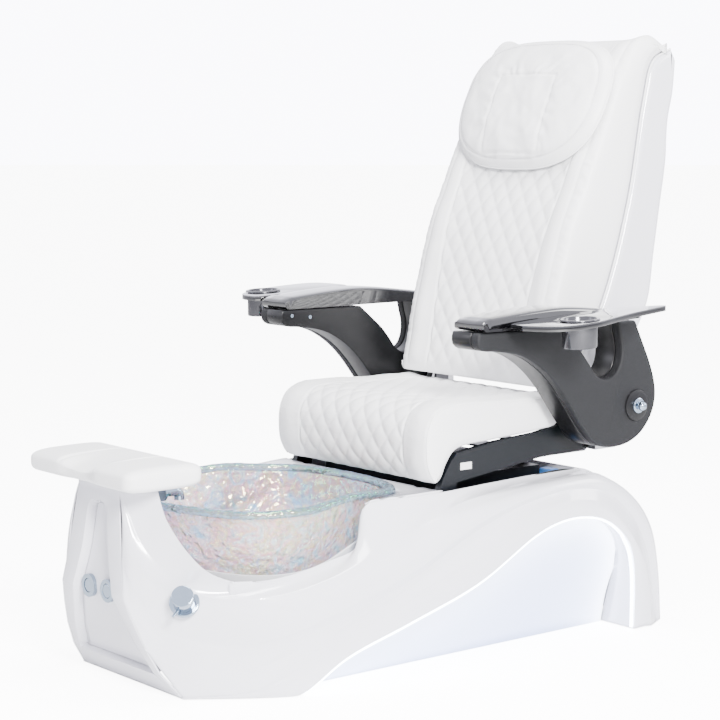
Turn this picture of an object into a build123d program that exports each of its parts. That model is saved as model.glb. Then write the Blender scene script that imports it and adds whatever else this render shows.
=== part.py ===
from build123d import *
import os
from math import cos, radians, sin

# Pedicure spa chair. Millimetres, +Z up. The sitter faces -Y, X = 0 is the
# plane of symmetry, +X is the sitter's left, and Z = 0 is the floor.

os.makedirs("parts", exist_ok=True)

# ---------------------------------------------------------------- general
WALL = 6.0  # moulded shell wall
FIT = 0.3  # gap between faces that only meet
RUN = 0.05  # radial clearance of a running fit
SKIN_GAP = 2.0  # gap between a trim piece and what it covers

# ---------------------------------------------------------------- base
BASE_REAR_Y = 655.0
BASE_REAR_HALF_WIDTH = 350.0
BASE_MAX_HALF_WIDTH = 420.0
BASE_FRONT_JOIN_Y = -470.0  # where the body meets the nose
PILLAR_TOP_Z = 440.0
PILLAR_REAR_Y = -590.0
BASE_TOP = [  # crest of the side wall, front to rear, as (y, z)
    (-575, 250), (-500, 246), (-400, 243), (-300, 254), (-200, 286), (-100, 317),
    (11, 352), (138, 372), (269, 384), (400, 388), (475, 368), (545, 326),
    (596, 275), (626, 217), (645, 110),
]
BASE_HALF_WIDTH = [  # plan half width of the body, as (y, x)
    (-640, 226), (-550, 283), (-450, 318), (-300, 346), (-150, 362), (0, 372),
    (150, 380), (450, 380), (600, 374),
]
NOSE_SECTIONS = [  # z, front half width, front y, side half width, side y
    (0, 196, -630, 288, -500),
    (110, 155, -697, 302, -500),
    (215, 121, -728, 290, -513),
    (255, 110, -724, 262, -545),
]
PILLAR_SECTIONS = [  # z, front half width, front y, side half width, side y
    (250, 111, -724, 205, -612),
    (PILLAR_TOP_Z, 78, -706, 155, -634),
]
FRAME_TUBE = 40.0
FRAME_WALL = 3.0
FRAME_HALF_WIDTH = 205.0
FRAME_FRONT_Y = -520.0
FRAME_REAR_Y = 560.0

# recessed light panel
LIGHT_TOP = [  # lit edge, front to rear, as (y, z)
    (-328, 76), (-158, 126), (44, 187), (206, 272), (335, 298), (402, 290),
    (484, 251), (527, 207), (539, 111),
]
LIGHT_FRONT_Y = -425.0
LIGHT_REAR_Y = 536.0
LIGHT_FLOOR_X = 262.0  # where the sloped panel meets the floor
LIGHT_SLOPE = 0.30  # outward run of the panel for each mm of height
LIGHT_SHEET = 4.0
LED_WIDTH = 9.0

# access panel in the front of the pillar
PANEL_OUTLINE = [(150, 46), (112, 130), (66, 250), (46, 330), (41, 372)]
PANEL_TOP_Z = 404.0
PANEL_DEPTH = 22.0
PANEL_SHEET = 4.0
PANEL_RIM = 8.0

# foot bowl
BOWL_RIM = [  # right half of the rim in plan, front to rear
    (143, -551), (245, -495), (285, -394), (263, -241), (234, -125), (205, -60), (110, -14),
]
BOWL_FRONT_Y = -580.0
BOWL_REAR_Y = -2.0
BOWL_CENTRE_Y = -300.0
BOWL_RIM_Z = 388.0
BOWL_RIM_THICK = 18.0
BOWL_FLOOR_Z = 178.0
BOWL_WALL_TOP_Z = BOWL_RIM_Z - BOWL_RIM_THICK + 0.5
BOWL_WALL = 8.0
BOWL_LEVELS = [(0.0, 0.56), (0.13, 0.75), (0.52, 0.91), (1.0, 0.955)]  # height share, size share
BOWL_PLAN_RADIUS = 270.0  # mean radius that turns a wall into a size share
DRAIN_R = 24.0
DRAIN_Y = -400.0
JET_Y = -250.0
JET_R = 62.0
JET_SHAFT_R = 6.0
IMPELLER_R = 40.0

# deck and pedestal
DECK_HALF_WIDTH = 290.0
DECK_FRONT_Y = 8.0
DECK_REAR_Y = 452.0
DECK_Z = 337.0
PEDESTAL_HALF_WIDTH = 200.0
PEDESTAL_FRONT_Y = 60.0
PEDESTAL_REAR_Y = 390.0
PEDESTAL_TOP_Z = 390.0
RAIL_X = 150.0
RAIL_R = 8.0
CARRIAGE_R = 17.0

# mixer tap
MIXER_AT = (202, -629, 207)
MIXER_AZIMUTH = 50.0
MIXER_ELEVATION = 30.0
ESCUTCHEON_R = 32.0
ESCUTCHEON_THICK = 9.0
MIXER_KNOB_R = 23.5
MIXER_KNOB_LENGTH = 40.0
MIXER_STEM_R = 8.0

# push buttons
BUTTON_X = 36.0
BUTTON_Z = 215.0
BUTTON_BEZEL_R = 25.0
BUTTON_R = 15.0

# footrest
PAD_HALF_WIDTH = 202.0
PAD_FRONT_Y = -764.0
PAD_REAR_Y = -572.0
PAD_BOTTOM_Z = 445.0
PAD_TOP_Z = 497.0
POST_Y = -655.0
POST_R = 20.0
POST_LENGTH = 120.0

# seat
SEAT_HALF_WIDTH = 276.0
SEAT_PROFILE = [  # cushion side outline, as (y, z)
    (2, 397), (-22, 431), (-28, 476), (-11, 542), (22, 568), (80, 573), (200, 566),
    (330, 565), (380, 562), (393, 540), (378, 497), (310, 486), (183, 478), (61, 466),
    (33, 440), (16, 406),
]
SEAT_FRAME_X = 240.0
SEAT_PAN_THICK = 5.0
SEAT_FRAME_PLATE = 4.0
SEAT_COVER_X = 255.0
SEAT_COVER_THICK = 17.0
SEAT_COVER_PROFILE = [
    (64, 459), (44, 441), (20, 402), (11, 379), (14, 374), (56, 362), (64, 393),
    (320, 423), (466, 428), (466, 508), (395, 508), (379, 493), (310, 482), (183, 474),
]
LABEL_SIZE = (34, 16, 1.0)
LABEL_AT = (90, 428)

# backrest
RECLINE_Y = 440.0
RECLINE_Z = 522.0
RECLINE_PIN_R = 10.0
BACK_HALF_WIDTH = 258.0
BACK_FRONT = [
    (341, 580), (352, 640), (372, 740), (425, 930), (482, 1060), (540, 1180), (592, 1300),
    (650, 1378), (690, 1400),
]
BACK_WELT = [
    (762, 1378), (702, 1345), (672, 1250), (624, 1012), (543, 776), (450, 622), (420, 590),
]
BACK_REAR = [
    (782, 1330), (776, 1270), (756, 1180), (755, 1106), (730, 961), (699, 767), (610, 640),
]
BACK_SHELL_WALL = 5.0
BACK_FRAME_X = 215.0
BACK_FRAME_PLATE = 8.0
PILLOW_HALF_WIDTH = 244.0
PILLOW_THICK = 62.0
PILLOW_CORNER = 110.0
PILLOW_LENGTH = 336.0
PILLOW_AT = (558, 1236)  # centre of its rear face
PILLOW_TILT = 24.0  # lean of its face from the vertical
CARRIAGE_TRACK_X = 90.0
MASSAGE_LOW = (640, 850)
MASSAGE_HIGH = (714, 1240)
MASSAGE_ROD_R = 7.0

# arms
ARM_INNER_X = 310.0
ARM_SPLIT_X = 372.0
ARM_OUTER_X = 398.0
ARM_LOWER = [  # underside, front to rear, as (y, z)
    (14, 742), (12, 716), (40, 701), (110, 692), (184, 665), (253, 610), (295, 559),
    (334, 509), (370, 470), (424, 453), (493, 459), (544, 490), (574, 540), (572, 590),
    (556, 640), (528, 692), (505, 742),
]
ARM_WINDOW = [
    (258, 738), (300, 708), (328, 682), (352, 655), (372, 630), (404, 612), (438, 622),
    (457, 640), (461, 684), (446, 738),
]
ARM_PIVOT_Y = 509.0
ARM_PIVOT_Z = 543.0
ARM_BOLT_R = 10.0
ARM_WASHER_R = 37.0
ARMREST_INNER_X = 308.0
ARMREST_OUTER_X = 404.0
ARMREST_PROFILE = [
    (30, 744), (30, 772), (90, 777), (170, 783), (262, 786), (350, 780), (446, 769), (446, 744),
]

# trays, in plan; each leans up to the rear with the armrest
TRAY_LEAN = 0.05
TRAY_THICK = 12.0
TRAY_LEFT_TOP_Z = 758.0  # top at TRAY_DATUM_Y
TRAY_RIGHT_TOP_Z = 771.0
TRAY_DATUM_Y = 40.0
TRAY_LEFT = [
    (406, 84), (450, 84), (496, 94), (536, 118), (554, 165), (553, 222), (530, 300),
    (508, 380), (492, 470), (484, 512), (472, 516), (440, 470), (406, 425),
]
TRAY_RIGHT = [
    (-406, 14), (-458, 14), (-500, 28), (-538, 80), (-562, 165), (-562, 245), (-537, 296),
    (-473, 306), (-436, 306), (-412, 296), (-406, 278),
]
TRAY_LEFT_PIN = (436, 430)
TRAY_RIGHT_PIN = (-430, 284)
TRAY_PIN_R = 6.0
CUP_LEFT = (500, 218)
CUP_RIGHT = (-500, 94)
CUP_R = 39.0
CUP_WALL = 2.5
CUP_DEPTH = 60.0
CUP_FLANGE_R = 44.0


# ---------------------------------------------------------------- helpers
def side_bar(outline, x_low, x_high):
    """A side outline, as (y, z) points, carried from x_low to x_high."""
    with BuildPart() as bar:
        with BuildSketch(Plane.YZ.offset(x_low)):
            with BuildLine():
                Polyline(*outline, close=True)
            make_face()
        extrude(amount=x_high - x_low)
    return bar.part


def block(x_span, y_span, z_span):
    """A plain box between pairs of coordinates."""
    size = [span[1] - span[0] for span in (x_span, y_span, z_span)]
    middle = [(span[1] + span[0]) / 2 for span in (x_span, y_span, z_span)]
    return Pos(*middle) * Box(*size)


def rod(start, end, radius):
    """A round bar between two points."""
    path = Vector(*end) - Vector(*start)
    with BuildPart() as bar:
        with BuildSketch(Plane(origin=start, z_dir=path)):
            Circle(radius)
        extrude(amount=path.length)
    return bar.part


def section_wire(section, inset, rear_y):
    """One level of the nose or pillar, inset by a wall."""
    z, front_half, front_y, side_half, side_y = section
    front = front_y + inset
    side = side_half - inset
    return [
        (-front_half + inset * 0.5, front), (front_half - inset * 0.5, front), (side, side_y + inset),
        (side, rear_y), (-side, rear_y), (-side, side_y + inset),
    ], z


def nose(sections, inset, rear_y, top_inset, bottom_extra):
    """The front of the base, lofted through its levels."""
    with BuildPart() as body:
        for index, section in enumerate(sections):
            outline, z = section_wire(section, inset, rear_y)
            level = z
            if index == len(sections) - 1:
                level = z - top_inset
            if index == 0:
                level = z - bottom_extra
            with BuildSketch(Plane.XY.offset(level)):
                with BuildLine():
                    Polyline(*outline, close=True)
                make_face()
        loft(ruled=True)
    return body.part


def under_crest(inset, bottom):
    """Everything under the crest line, carried across the full width."""
    crest = [(y, z - inset) for y, z in BASE_TOP]
    crest[0] = (crest[0][0] + inset, crest[0][1])
    rear = BASE_REAR_Y - inset
    reach = BASE_MAX_HALF_WIDTH
    with BuildPart() as slab:
        with BuildSketch(Plane.YZ.offset(-reach)):
            with BuildLine():
                top = Spline(*crest)
                Polyline(top @ 1, (rear, bottom), (crest[0][0], bottom), top @ 0)
            make_face()
        extrude(amount=2 * reach)
    return slab.part


def body_volume(inset, bottom):
    """The base behind the nose: plan outline cut by the crest line."""
    plan = [(x - inset, y) for y, x in BASE_HALF_WIDTH]
    rear = BASE_REAR_Y - inset
    rear_half = BASE_REAR_HALF_WIDTH - inset
    cover = under_crest(inset, bottom)
    with BuildPart() as body:
        with BuildSketch(Plane.XY.offset(bottom)):
            with BuildLine():
                side = Spline(*plan)
                Polyline(side @ 1, (rear_half, rear), (0, rear), (0, plan[0][1]), side @ 0)
            make_face()
            mirror(about=Plane.YZ)
        extrude(amount=PILLAR_TOP_Z)
        add(cover, mode=Mode.INTERSECT)
    return body.part


def light_outline(inset):
    """The lit edge and the floor, as a closed side outline."""
    middle_y = (LIGHT_FRONT_Y + LIGHT_REAR_Y) / 2
    top = []
    for y, z in LIGHT_TOP:
        lean = inset if y < middle_y else -inset
        rear = 1.0 if y > LIGHT_TOP[-3][0] - 1 else 0.35
        top.append((y + lean * rear, z - inset))
    return [(LIGHT_FRONT_Y + 3 * inset, 0)] + top + [(LIGHT_REAR_Y - inset, 0)]


def rim_points(share, growth):
    """Closed plan outline of the bowl at a size share, grown outward."""
    grown = share + growth / BOWL_PLAN_RADIUS
    right = [(x, y) for x, y in BOWL_RIM]
    left = [(-x, y) for x, y in reversed(BOWL_RIM)]
    loop = [(0, BOWL_FRONT_Y)] + right + [(0, BOWL_REAR_Y)] + left
    return [(x * grown, BOWL_CENTRE_Y + (y - BOWL_CENTRE_Y) * grown) for x, y in loop]


def bowl_body(growth, floor_z, top_z):
    """Bowl-shaped solid between two heights, grown by a wall."""
    with BuildPart() as body:
        for height, share in BOWL_LEVELS:
            level = floor_z + height * (top_z - floor_z)
            with BuildSketch(Plane.XY.offset(level)):
                with BuildLine():
                    Spline(*rim_points(share, growth), periodic=True)
                make_face()
        loft()
    return body.part


def tray_plane(top_z):
    """Plane of a tray's top face, leaning up to the rear."""
    return Plane(origin=(0, TRAY_DATUM_Y, top_z), x_dir=(1, 0, 0), z_dir=(0, -TRAY_LEAN, 1))


def tray_spot(plane, point):
    """A plan point dropped onto a tray's plane, in the plane's own axes."""
    run = (1 + TRAY_LEAN * TRAY_LEAN) ** 0.5
    return (point[0], (point[1] - TRAY_DATUM_Y) * run)


def save(part, name):
    """Label one finished piece and write it."""
    part.label = name
    export_step(part, "parts/" + name + ".step")


SIDES = (("left", 1), ("right", -1))

# ---------------------------------------------------------------- base shell
nose_out = nose(NOSE_SECTIONS, 0, BASE_FRONT_JOIN_Y, 0, 0)
nose_in = nose(NOSE_SECTIONS, WALL, BASE_FRONT_JOIN_Y, WALL, 10)
pillar_out = nose(PILLAR_SECTIONS, 0, PILLAR_REAR_Y, 0, 0)
pillar_in = nose(PILLAR_SECTIONS, WALL, PILLAR_REAR_Y - WALL, WALL, 12)
body_out = body_volume(0, 0)
body_in = body_volume(WALL, -10)
bowl_hole = bowl_body(2 * WALL - 1, BOWL_FLOOR_Z - 14, BOWL_WALL_TOP_Z)
light_window = side_bar(light_outline(0), 0, 420)

mixer_plane = Plane(
    origin=MIXER_AT,
    z_dir=(
        cos(radians(MIXER_ELEVATION)) * sin(radians(MIXER_AZIMUTH)),
        -cos(radians(MIXER_ELEVATION)) * cos(radians(MIXER_AZIMUTH)),
        sin(radians(MIXER_ELEVATION)),
    ),
    x_dir=(cos(radians(MIXER_AZIMUTH)), sin(radians(MIXER_AZIMUTH)), 0),
)



def panel_prism(inset, y_low, y_high):
    """The vase shaped panel outline carried through the front wall."""
    right = [(x - inset, z + (inset if index == 0 else 0)) for index, (x, z) in enumerate(PANEL_OUTLINE)]
    top = (0, PANEL_TOP_Z - inset)
    left = [(-x, z) for x, z in reversed(right)]
    with BuildPart() as prism:
        with BuildSketch(Plane.XZ.offset(-y_low)):
            with BuildLine():
                Polyline(*right)
                ThreePointArc(right[-1], top, left[0])
                Polyline(*left)
                Line(left[-1], right[0])
            make_face()
        extrude(amount=-(y_high - y_low))
    return prism.part


def front_band(depth_low, depth_high):
    """A layer behind the front of the pillar, between two depths."""
    line = [(s[2], s[0]) for s in NOSE_SECTIONS] + [(PILLAR_SECTIONS[1][2], PILLAR_SECTIONS[1][0])]
    outer = [(y + depth_low, z) for y, z in line]
    inner = [(y + depth_high, z) for y, z in reversed(line)]
    return side_bar(outer + inner, -230, 230)


panel_hole = panel_prism(0, -800, PILLAR_REAR_Y - 30)
deck_hole = block(
    (-DECK_HALF_WIDTH - 4, DECK_HALF_WIDTH + 4), (DECK_FRONT_Y - 4, DECK_REAR_Y + 4), (DECK_Z - 6, 460)
)
light_window_right = mirror(light_window, about=Plane.YZ)

with BuildPart() as base_shell:
    add(nose_out)
    add(pillar_out)
    add(body_out)
    add(nose_in, mode=Mode.SUBTRACT)
    add(pillar_in, mode=Mode.SUBTRACT)
    add(body_in, mode=Mode.SUBTRACT)
    add(bowl_hole, mode=Mode.SUBTRACT)
    add(light_window, mode=Mode.SUBTRACT)
    add(light_window_right, mode=Mode.SUBTRACT)
    add(panel_hole, mode=Mode.SUBTRACT)
    add(deck_hole, mode=Mode.SUBTRACT)
    with BuildSketch(Plane.XY.offset(PILLAR_TOP_Z + 1)):
        with Locations((0, POST_Y)):
            Circle(POST_R + 1)
    extrude(amount=-2 * WALL, mode=Mode.SUBTRACT)
    with BuildSketch(mixer_plane.offset(-34)):
        Circle(ESCUTCHEON_R + 12)
    extrude(amount=34)
    with BuildSketch(mixer_plane):
        Circle(ESCUTCHEON_R + 6)
    extrude(amount=60, mode=Mode.SUBTRACT)
    with BuildSketch(mixer_plane.offset(-40)):
        Circle(MIXER_STEM_R + 6)
    extrude(amount=45, mode=Mode.SUBTRACT)
save(base_shell.part, "base_shell")

# ---------------------------------------------------------------- wells inside the shell
crest_cover = under_crest(-WALL / 2, 0)
well_out = bowl_body(2 * WALL - 1 - FIT, BOWL_FLOOR_Z - 13.7, BOWL_WALL_TOP_Z)
well_in = bowl_body(WALL - 1, BOWL_FLOOR_Z - 8, BOWL_WALL_TOP_Z)

with BuildPart() as bowl_well:
    add(well_out)
    add(well_in, mode=Mode.SUBTRACT)
    add(crest_cover, mode=Mode.INTERSECT)
    with BuildSketch(Plane.XY.offset(BOWL_FLOOR_Z - 20)):
        with Locations((0, DRAIN_Y)):
            Circle(DRAIN_R + 2)
        with Locations((0, JET_Y)):
            Circle(JET_R)
    extrude(amount=30, mode=Mode.SUBTRACT)
save(bowl_well.part, "bowl_well")

deck_out = block(
    (-DECK_HALF_WIDTH - 3.7, DECK_HALF_WIDTH + 3.7), (DECK_FRONT_Y - 3.7, DECK_REAR_Y + 3.7), (DECK_Z - 5, 460)
)
deck_in = block(
    (-DECK_HALF_WIDTH, DECK_HALF_WIDTH), (DECK_FRONT_Y, DECK_REAR_Y), (DECK_Z, 461)
)
with BuildPart() as deck_well:
    add(deck_out)
    add(deck_in, mode=Mode.SUBTRACT)
    add(crest_cover, mode=Mode.INTERSECT)
save(deck_well.part, "deck_well")

# ---------------------------------------------------------------- steel frame
frame_inner = FRAME_HALF_WIDTH - FRAME_TUBE
CROSS_BARS = (FRAME_FRONT_Y, BOWL_CENTRE_Y + 60, 0.0, 380.0, FRAME_REAR_Y)
POST_TOP_Z = DECK_Z - 5 - FIT
with BuildPart() as base_frame:
    with BuildSketch():
        with Locations((FRAME_HALF_WIDTH - FRAME_TUBE / 2, 20), (-FRAME_HALF_WIDTH + FRAME_TUBE / 2, 20)):
            Rectangle(FRAME_TUBE, FRAME_REAR_Y - FRAME_FRONT_Y + FRAME_TUBE)
        for bar_y in CROSS_BARS:
            with Locations((0, bar_y)):
                Rectangle(2 * frame_inner + 2, FRAME_TUBE)
    extrude(amount=FRAME_TUBE)
    with BuildSketch(Plane.XY.offset(FRAME_WALL)):
        with Locations((FRAME_HALF_WIDTH - FRAME_TUBE / 2, 20), (-FRAME_HALF_WIDTH + FRAME_TUBE / 2, 20)):
            Rectangle(FRAME_TUBE - 2 * FRAME_WALL, FRAME_REAR_Y - FRAME_FRONT_Y + FRAME_TUBE - 2 * FRAME_WALL)
    extrude(amount=FRAME_TUBE, mode=Mode.SUBTRACT)
    with BuildSketch(Plane.XY.offset(FRAME_WALL)):
        for post_y in (80.0, 380.0):
            for post_x in (-185.0, 185.0):
                with Locations((post_x, post_y)):
                    Rectangle(30, 30)
                    Rectangle(24, 24, mode=Mode.SUBTRACT)
    extrude(amount=POST_TOP_Z - FRAME_WALL)
    with BuildSketch(Plane.XY.offset(FRAME_TUBE)):
        for post_x in (-90.0, 90.0):
            with Locations((post_x, BOWL_CENTRE_Y + 60)):
                Rectangle(30, 30)
    extrude(amount=BOWL_FLOOR_Z - 14.3 - FRAME_TUBE)
save(base_frame.part, "base_frame")

# ---------------------------------------------------------------- front access panel
panel_rim_body = panel_prism(FIT, -800, PILLAR_REAR_Y - 30)
panel_layer = front_band(0, PANEL_DEPTH + PANEL_SHEET)
panel_face_cut = panel_prism(PANEL_RIM, -800, PILLAR_REAR_Y - 30)
panel_front_layer = front_band(-40, PANEL_DEPTH)
panel_hollow = panel_face_cut & panel_front_layer
PANEL_FACE_Y = NOSE_SECTIONS[2][2] + PANEL_DEPTH
with BuildPart() as front_access_panel:
    add(panel_rim_body)
    add(panel_layer, mode=Mode.INTERSECT)
    add(panel_hollow, mode=Mode.SUBTRACT)
    with BuildSketch(Plane.XZ.offset(-PANEL_FACE_Y + 30)):
        with Locations((BUTTON_X, BUTTON_Z), (-BUTTON_X, BUTTON_Z)):
            Circle(BUTTON_R + 3)
    extrude(amount=-60, mode=Mode.SUBTRACT)
save(front_access_panel.part, "front_access_panel")

# ---------------------------------------------------------------- push buttons
bezel_spots = [(BUTTON_X, BUTTON_Z), (-BUTTON_X, BUTTON_Z)]
BEZEL_BACK_Y = PANEL_FACE_Y - 0.9
BEZEL_THICK = 9.0
with BuildPart() as button_bezels:
    with BuildSketch(Plane.XZ.offset(-BEZEL_BACK_Y)):
        with Locations(*bezel_spots):
            Circle(BUTTON_BEZEL_R)
            Circle(BUTTON_R + FIT, mode=Mode.SUBTRACT)
    extrude(amount=BEZEL_THICK)
    chamfer(button_bezels.faces().sort_by(Axis.Y)[0].edges(), 1.5)
    with BuildSketch(Plane.XZ.offset(-BEZEL_BACK_Y + 1)):
        with Locations(*bezel_spots):
            Circle(BUTTON_R + 2.5)
            Circle(BUTTON_R + FIT, mode=Mode.SUBTRACT)
    extrude(amount=-25)
save(button_bezels.part, "button_bezels")

for side, sign in SIDES:
    with BuildPart() as plunger:
        with BuildSketch(Plane.XZ.offset(-BEZEL_BACK_Y - 18)):
            with Locations((sign * BUTTON_X, BUTTON_Z)):
                Circle(BUTTON_R)
        extrude(amount=18 + BEZEL_THICK - 1)
        fillet(plunger.faces().sort_by(Axis.Y)[0].edges(), 2)
    save(plunger.part, "button_" + side)

# ---------------------------------------------------------------- light panels
sheet_profile = [
    (LIGHT_FLOOR_X - LIGHT_SHEET, 0.5), (LIGHT_FLOOR_X, 0.5),
    (LIGHT_FLOOR_X + LIGHT_SLOPE * 330, 330), (LIGHT_FLOOR_X + LIGHT_SLOPE * 330 - LIGHT_SHEET, 330),
]
reveal_profile = [
    (LIGHT_FLOOR_X - 1, 0.5), (BASE_MAX_HALF_WIDTH, 0.5), (BASE_MAX_HALF_WIDTH, 330),
    (LIGHT_FLOOR_X + LIGHT_SLOPE * 330 - 1, 330),
]


def across(profile, y_low, y_high):
    """A cross outline, as (x, z) points, carried from y_low to y_high."""
    with BuildPart() as bar:
        with BuildSketch(Plane.XZ.offset(-y_low)):
            with BuildLine():
                Polyline(*profile, close=True)
            make_face()
        extrude(amount=-(y_high - y_low))
    return bar.part


sheet_slab = across(sheet_profile, LIGHT_FRONT_Y - 20, LIGHT_REAR_Y + 20)
reveal_zone = across(reveal_profile, LIGHT_FRONT_Y - 20, LIGHT_REAR_Y + 20)
opening_edge = side_bar(light_outline(FIT), 200, 420)
opening_inside = side_bar(light_outline(LIGHT_SHEET), 200, 420)
shell_inside = body_volume(1.5 * WALL, 0)
sheet_part = sheet_slab & opening_edge & shell_inside
reveal_ring = (opening_edge - opening_inside) & reveal_zone & shell_inside
led_ring = (side_bar(light_outline(FIT), 300, 420) - side_bar(light_outline(LED_WIDTH), 290, 430))
led_zone = body_volume(FIT, 20) - body_volume(1.5 * WALL - 0.5, 10)
led_left = led_ring & led_zone

with BuildPart() as light_panel:
    add(sheet_part)
    add(reveal_ring)
with BuildPart() as led_strip:
    add(led_left)

for side, sign in SIDES:
    panel_part = light_panel.part if sign > 0 else mirror(light_panel.part, about=Plane.YZ)
    strip_part = led_strip.part if sign > 0 else mirror(led_strip.part, about=Plane.YZ)
    save(panel_part, "light_panel_" + side)
    save(strip_part, "led_strip_" + side)

# ---------------------------------------------------------------- rear access panel
REAR_PANEL_HALF_WIDTH = 190.0
REAR_PANEL_TOP_Z = 96.0
REAR_PANEL_LOW_Z = 24.0
REAR_SCREW_X = 170.0
with BuildPart() as rear_access_panel:
    with BuildSketch(Plane.XZ.offset(-BASE_REAR_Y - FIT)):
        with Locations((0, (REAR_PANEL_TOP_Z + REAR_PANEL_LOW_Z) / 2)):
            RectangleRounded(2 * REAR_PANEL_HALF_WIDTH, REAR_PANEL_TOP_Z - REAR_PANEL_LOW_Z, 12)
            with GridLocations(REAR_SCREW_X, 52, 3, 1):
                Circle(2.6, mode=Mode.SUBTRACT)
    extrude(amount=-3)
save(rear_access_panel.part, "rear_access_panel")

with BuildPart() as rear_panel_screws:
    with BuildSketch(Plane.XZ.offset(-BASE_REAR_Y - FIT - 3)):
        with Locations((0, (REAR_PANEL_TOP_Z + REAR_PANEL_LOW_Z) / 2)):
            with GridLocations(REAR_SCREW_X, 52, 3, 1):
                Circle(4.5)
    extrude(amount=-2.2)
    with BuildSketch(Plane.XZ.offset(-BASE_REAR_Y - FIT - 3)):
        with Locations((0, (REAR_PANEL_TOP_Z + REAR_PANEL_LOW_Z) / 2)):
            with GridLocations(REAR_SCREW_X, 52, 3, 1):
                Circle(2.4)
    extrude(amount=3)
save(rear_panel_screws.part, "rear_panel_screws")

# ---------------------------------------------------------------- foot bowl
bowl_out = bowl_body(0, BOWL_FLOOR_Z, BOWL_WALL_TOP_Z)
bowl_in = bowl_body(-BOWL_WALL, BOWL_FLOOR_Z + BOWL_WALL, BOWL_RIM_Z + 1)
with BuildPart() as glass_bowl:
    with BuildSketch(Plane.XY.offset(BOWL_RIM_Z - BOWL_RIM_THICK)):
        with BuildLine():
            Spline(*rim_points(1.0, 0), periodic=True)
        make_face()
    extrude(amount=BOWL_RIM_THICK)
    fillet(glass_bowl.faces().sort_by(Axis.Z)[-1].edges(), BOWL_WALL * 0.7)
    fillet(glass_bowl.faces().sort_by(Axis.Z)[0].edges(), BOWL_WALL * 0.7)
    add(bowl_out)
    add(bowl_in, mode=Mode.SUBTRACT)
    with BuildSketch(Plane.XY.offset(BOWL_FLOOR_Z - 1)):
        with Locations((0, DRAIN_Y)):
            Circle(DRAIN_R)
        with Locations((0, JET_Y)):
            Circle(JET_R - 20)
    extrude(amount=BOWL_WALL + 3, mode=Mode.SUBTRACT)
save(glass_bowl.part, "glass_bowl")

with BuildPart() as bowl_gasket:
    with BuildSketch(Plane.XY.offset(BOWL_FLOOR_Z - 8 + FIT)):
        with Locations((0, (DRAIN_Y + JET_Y) / 2)):
            RectangleRounded(156, 266, 60)
            RectangleRounded(132, 242, 50, mode=Mode.SUBTRACT)
    extrude(amount=8 - 2 * FIT)
save(bowl_gasket.part, "bowl_gasket")

drain_top = BOWL_FLOOR_Z + BOWL_WALL
with BuildPart() as drain_fitting:
    with BuildSketch(Plane.XY.offset(drain_top + FIT)):
        with Locations((0, DRAIN_Y)):
            Circle(DRAIN_R + 9)
    extrude(amount=3)
    with BuildSketch(Plane.XY.offset(drain_top + FIT)):
        with Locations((0, DRAIN_Y)):
            Circle(DRAIN_R - FIT)
    extrude(amount=-90)
    with BuildSketch(Plane.XY.offset(drain_top + 4)):
        with Locations((0, DRAIN_Y)):
            with PolarLocations(12, 8):
                Circle(3)
    extrude(amount=-100, mode=Mode.SUBTRACT)
save(drain_fitting.part, "drain_fitting")

# the whirlpool jet stands on the bowl floor with its motor below
JET_CAP_Z = drain_top + 34
JET_BODY_R = JET_R - 20 - FIT
with BuildPart() as jet_housing:
    with BuildSketch(Plane.XY.offset(drain_top + FIT)):
        with Locations((0, JET_Y)):
            Circle(JET_R - 8)
    extrude(amount=JET_CAP_Z - drain_top - FIT)
    fillet(jet_housing.faces().sort_by(Axis.Z)[-1].edges(), 8)
    with BuildSketch(Plane.XY.offset(drain_top + 4)):
        with Locations((0, JET_Y)):
            Circle(IMPELLER_R + 4)
    extrude(amount=JET_CAP_Z - drain_top - 8, mode=Mode.SUBTRACT)
    with BuildSketch(Plane.XY.offset(JET_CAP_Z + 1)):
        with Locations((0, JET_Y)):
            Circle(9)
            with PolarLocations(26, 10):
                Circle(4)
    extrude(amount=-6, mode=Mode.SUBTRACT)
    with BuildSketch(Plane.XY.offset(drain_top + 6)):
        with Locations((0, JET_Y)):
            Circle(JET_SHAFT_R + RUN)
    extrude(amount=-12, mode=Mode.SUBTRACT)
save(jet_housing.part, "jet_housing")

MOTOR_TOP_Z = BOWL_FLOOR_Z + BOWL_WALL + FIT - 0.6
with BuildPart() as jet_motor:
    with BuildSketch(Plane.XY.offset(MOTOR_TOP_Z)):
        with Locations((0, JET_Y)):
            Circle(JET_BODY_R)
    extrude(amount=-95)
    with BuildSketch(Plane.XY.offset(MOTOR_TOP_Z + 1)):
        with Locations((0, JET_Y)):
            Circle(JET_SHAFT_R + RUN)
    extrude(amount=-41, mode=Mode.SUBTRACT)
save(jet_motor.part, "jet_motor")

with BuildPart() as jet_impeller:
    with BuildSketch(Plane.XY.offset(MOTOR_TOP_Z - 38)):
        with Locations((0, JET_Y)):
            Circle(JET_SHAFT_R)
    extrude(amount=38 + 24)
    with BuildSketch(Plane.XY.offset(drain_top + 8)):
        with Locations((0, JET_Y)):
            Circle(14)
            with PolarLocations((IMPELLER_R + 6) / 2, 5):
                Rectangle(IMPELLER_R - 6, 4)
    extrude(amount=14)
save(jet_impeller.part, "jet_impeller")

# ---------------------------------------------------------------- mixer tap
with BuildPart() as mixer_escutcheon:
    with BuildSketch(mixer_plane.offset(FIT)):
        Circle(ESCUTCHEON_R)
    extrude(amount=ESCUTCHEON_THICK - FIT)
    face_point = mixer_plane.offset(ESCUTCHEON_THICK + 20).origin
    fillet(mixer_escutcheon.faces().sort_by_distance(face_point)[0].edges(), 3)
    with BuildSketch(mixer_plane.offset(-36)):
        Circle(MIXER_STEM_R)
    extrude(amount=36 + ESCUTCHEON_THICK + 26)
save(mixer_escutcheon.part, "mixer_escutcheon")

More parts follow.
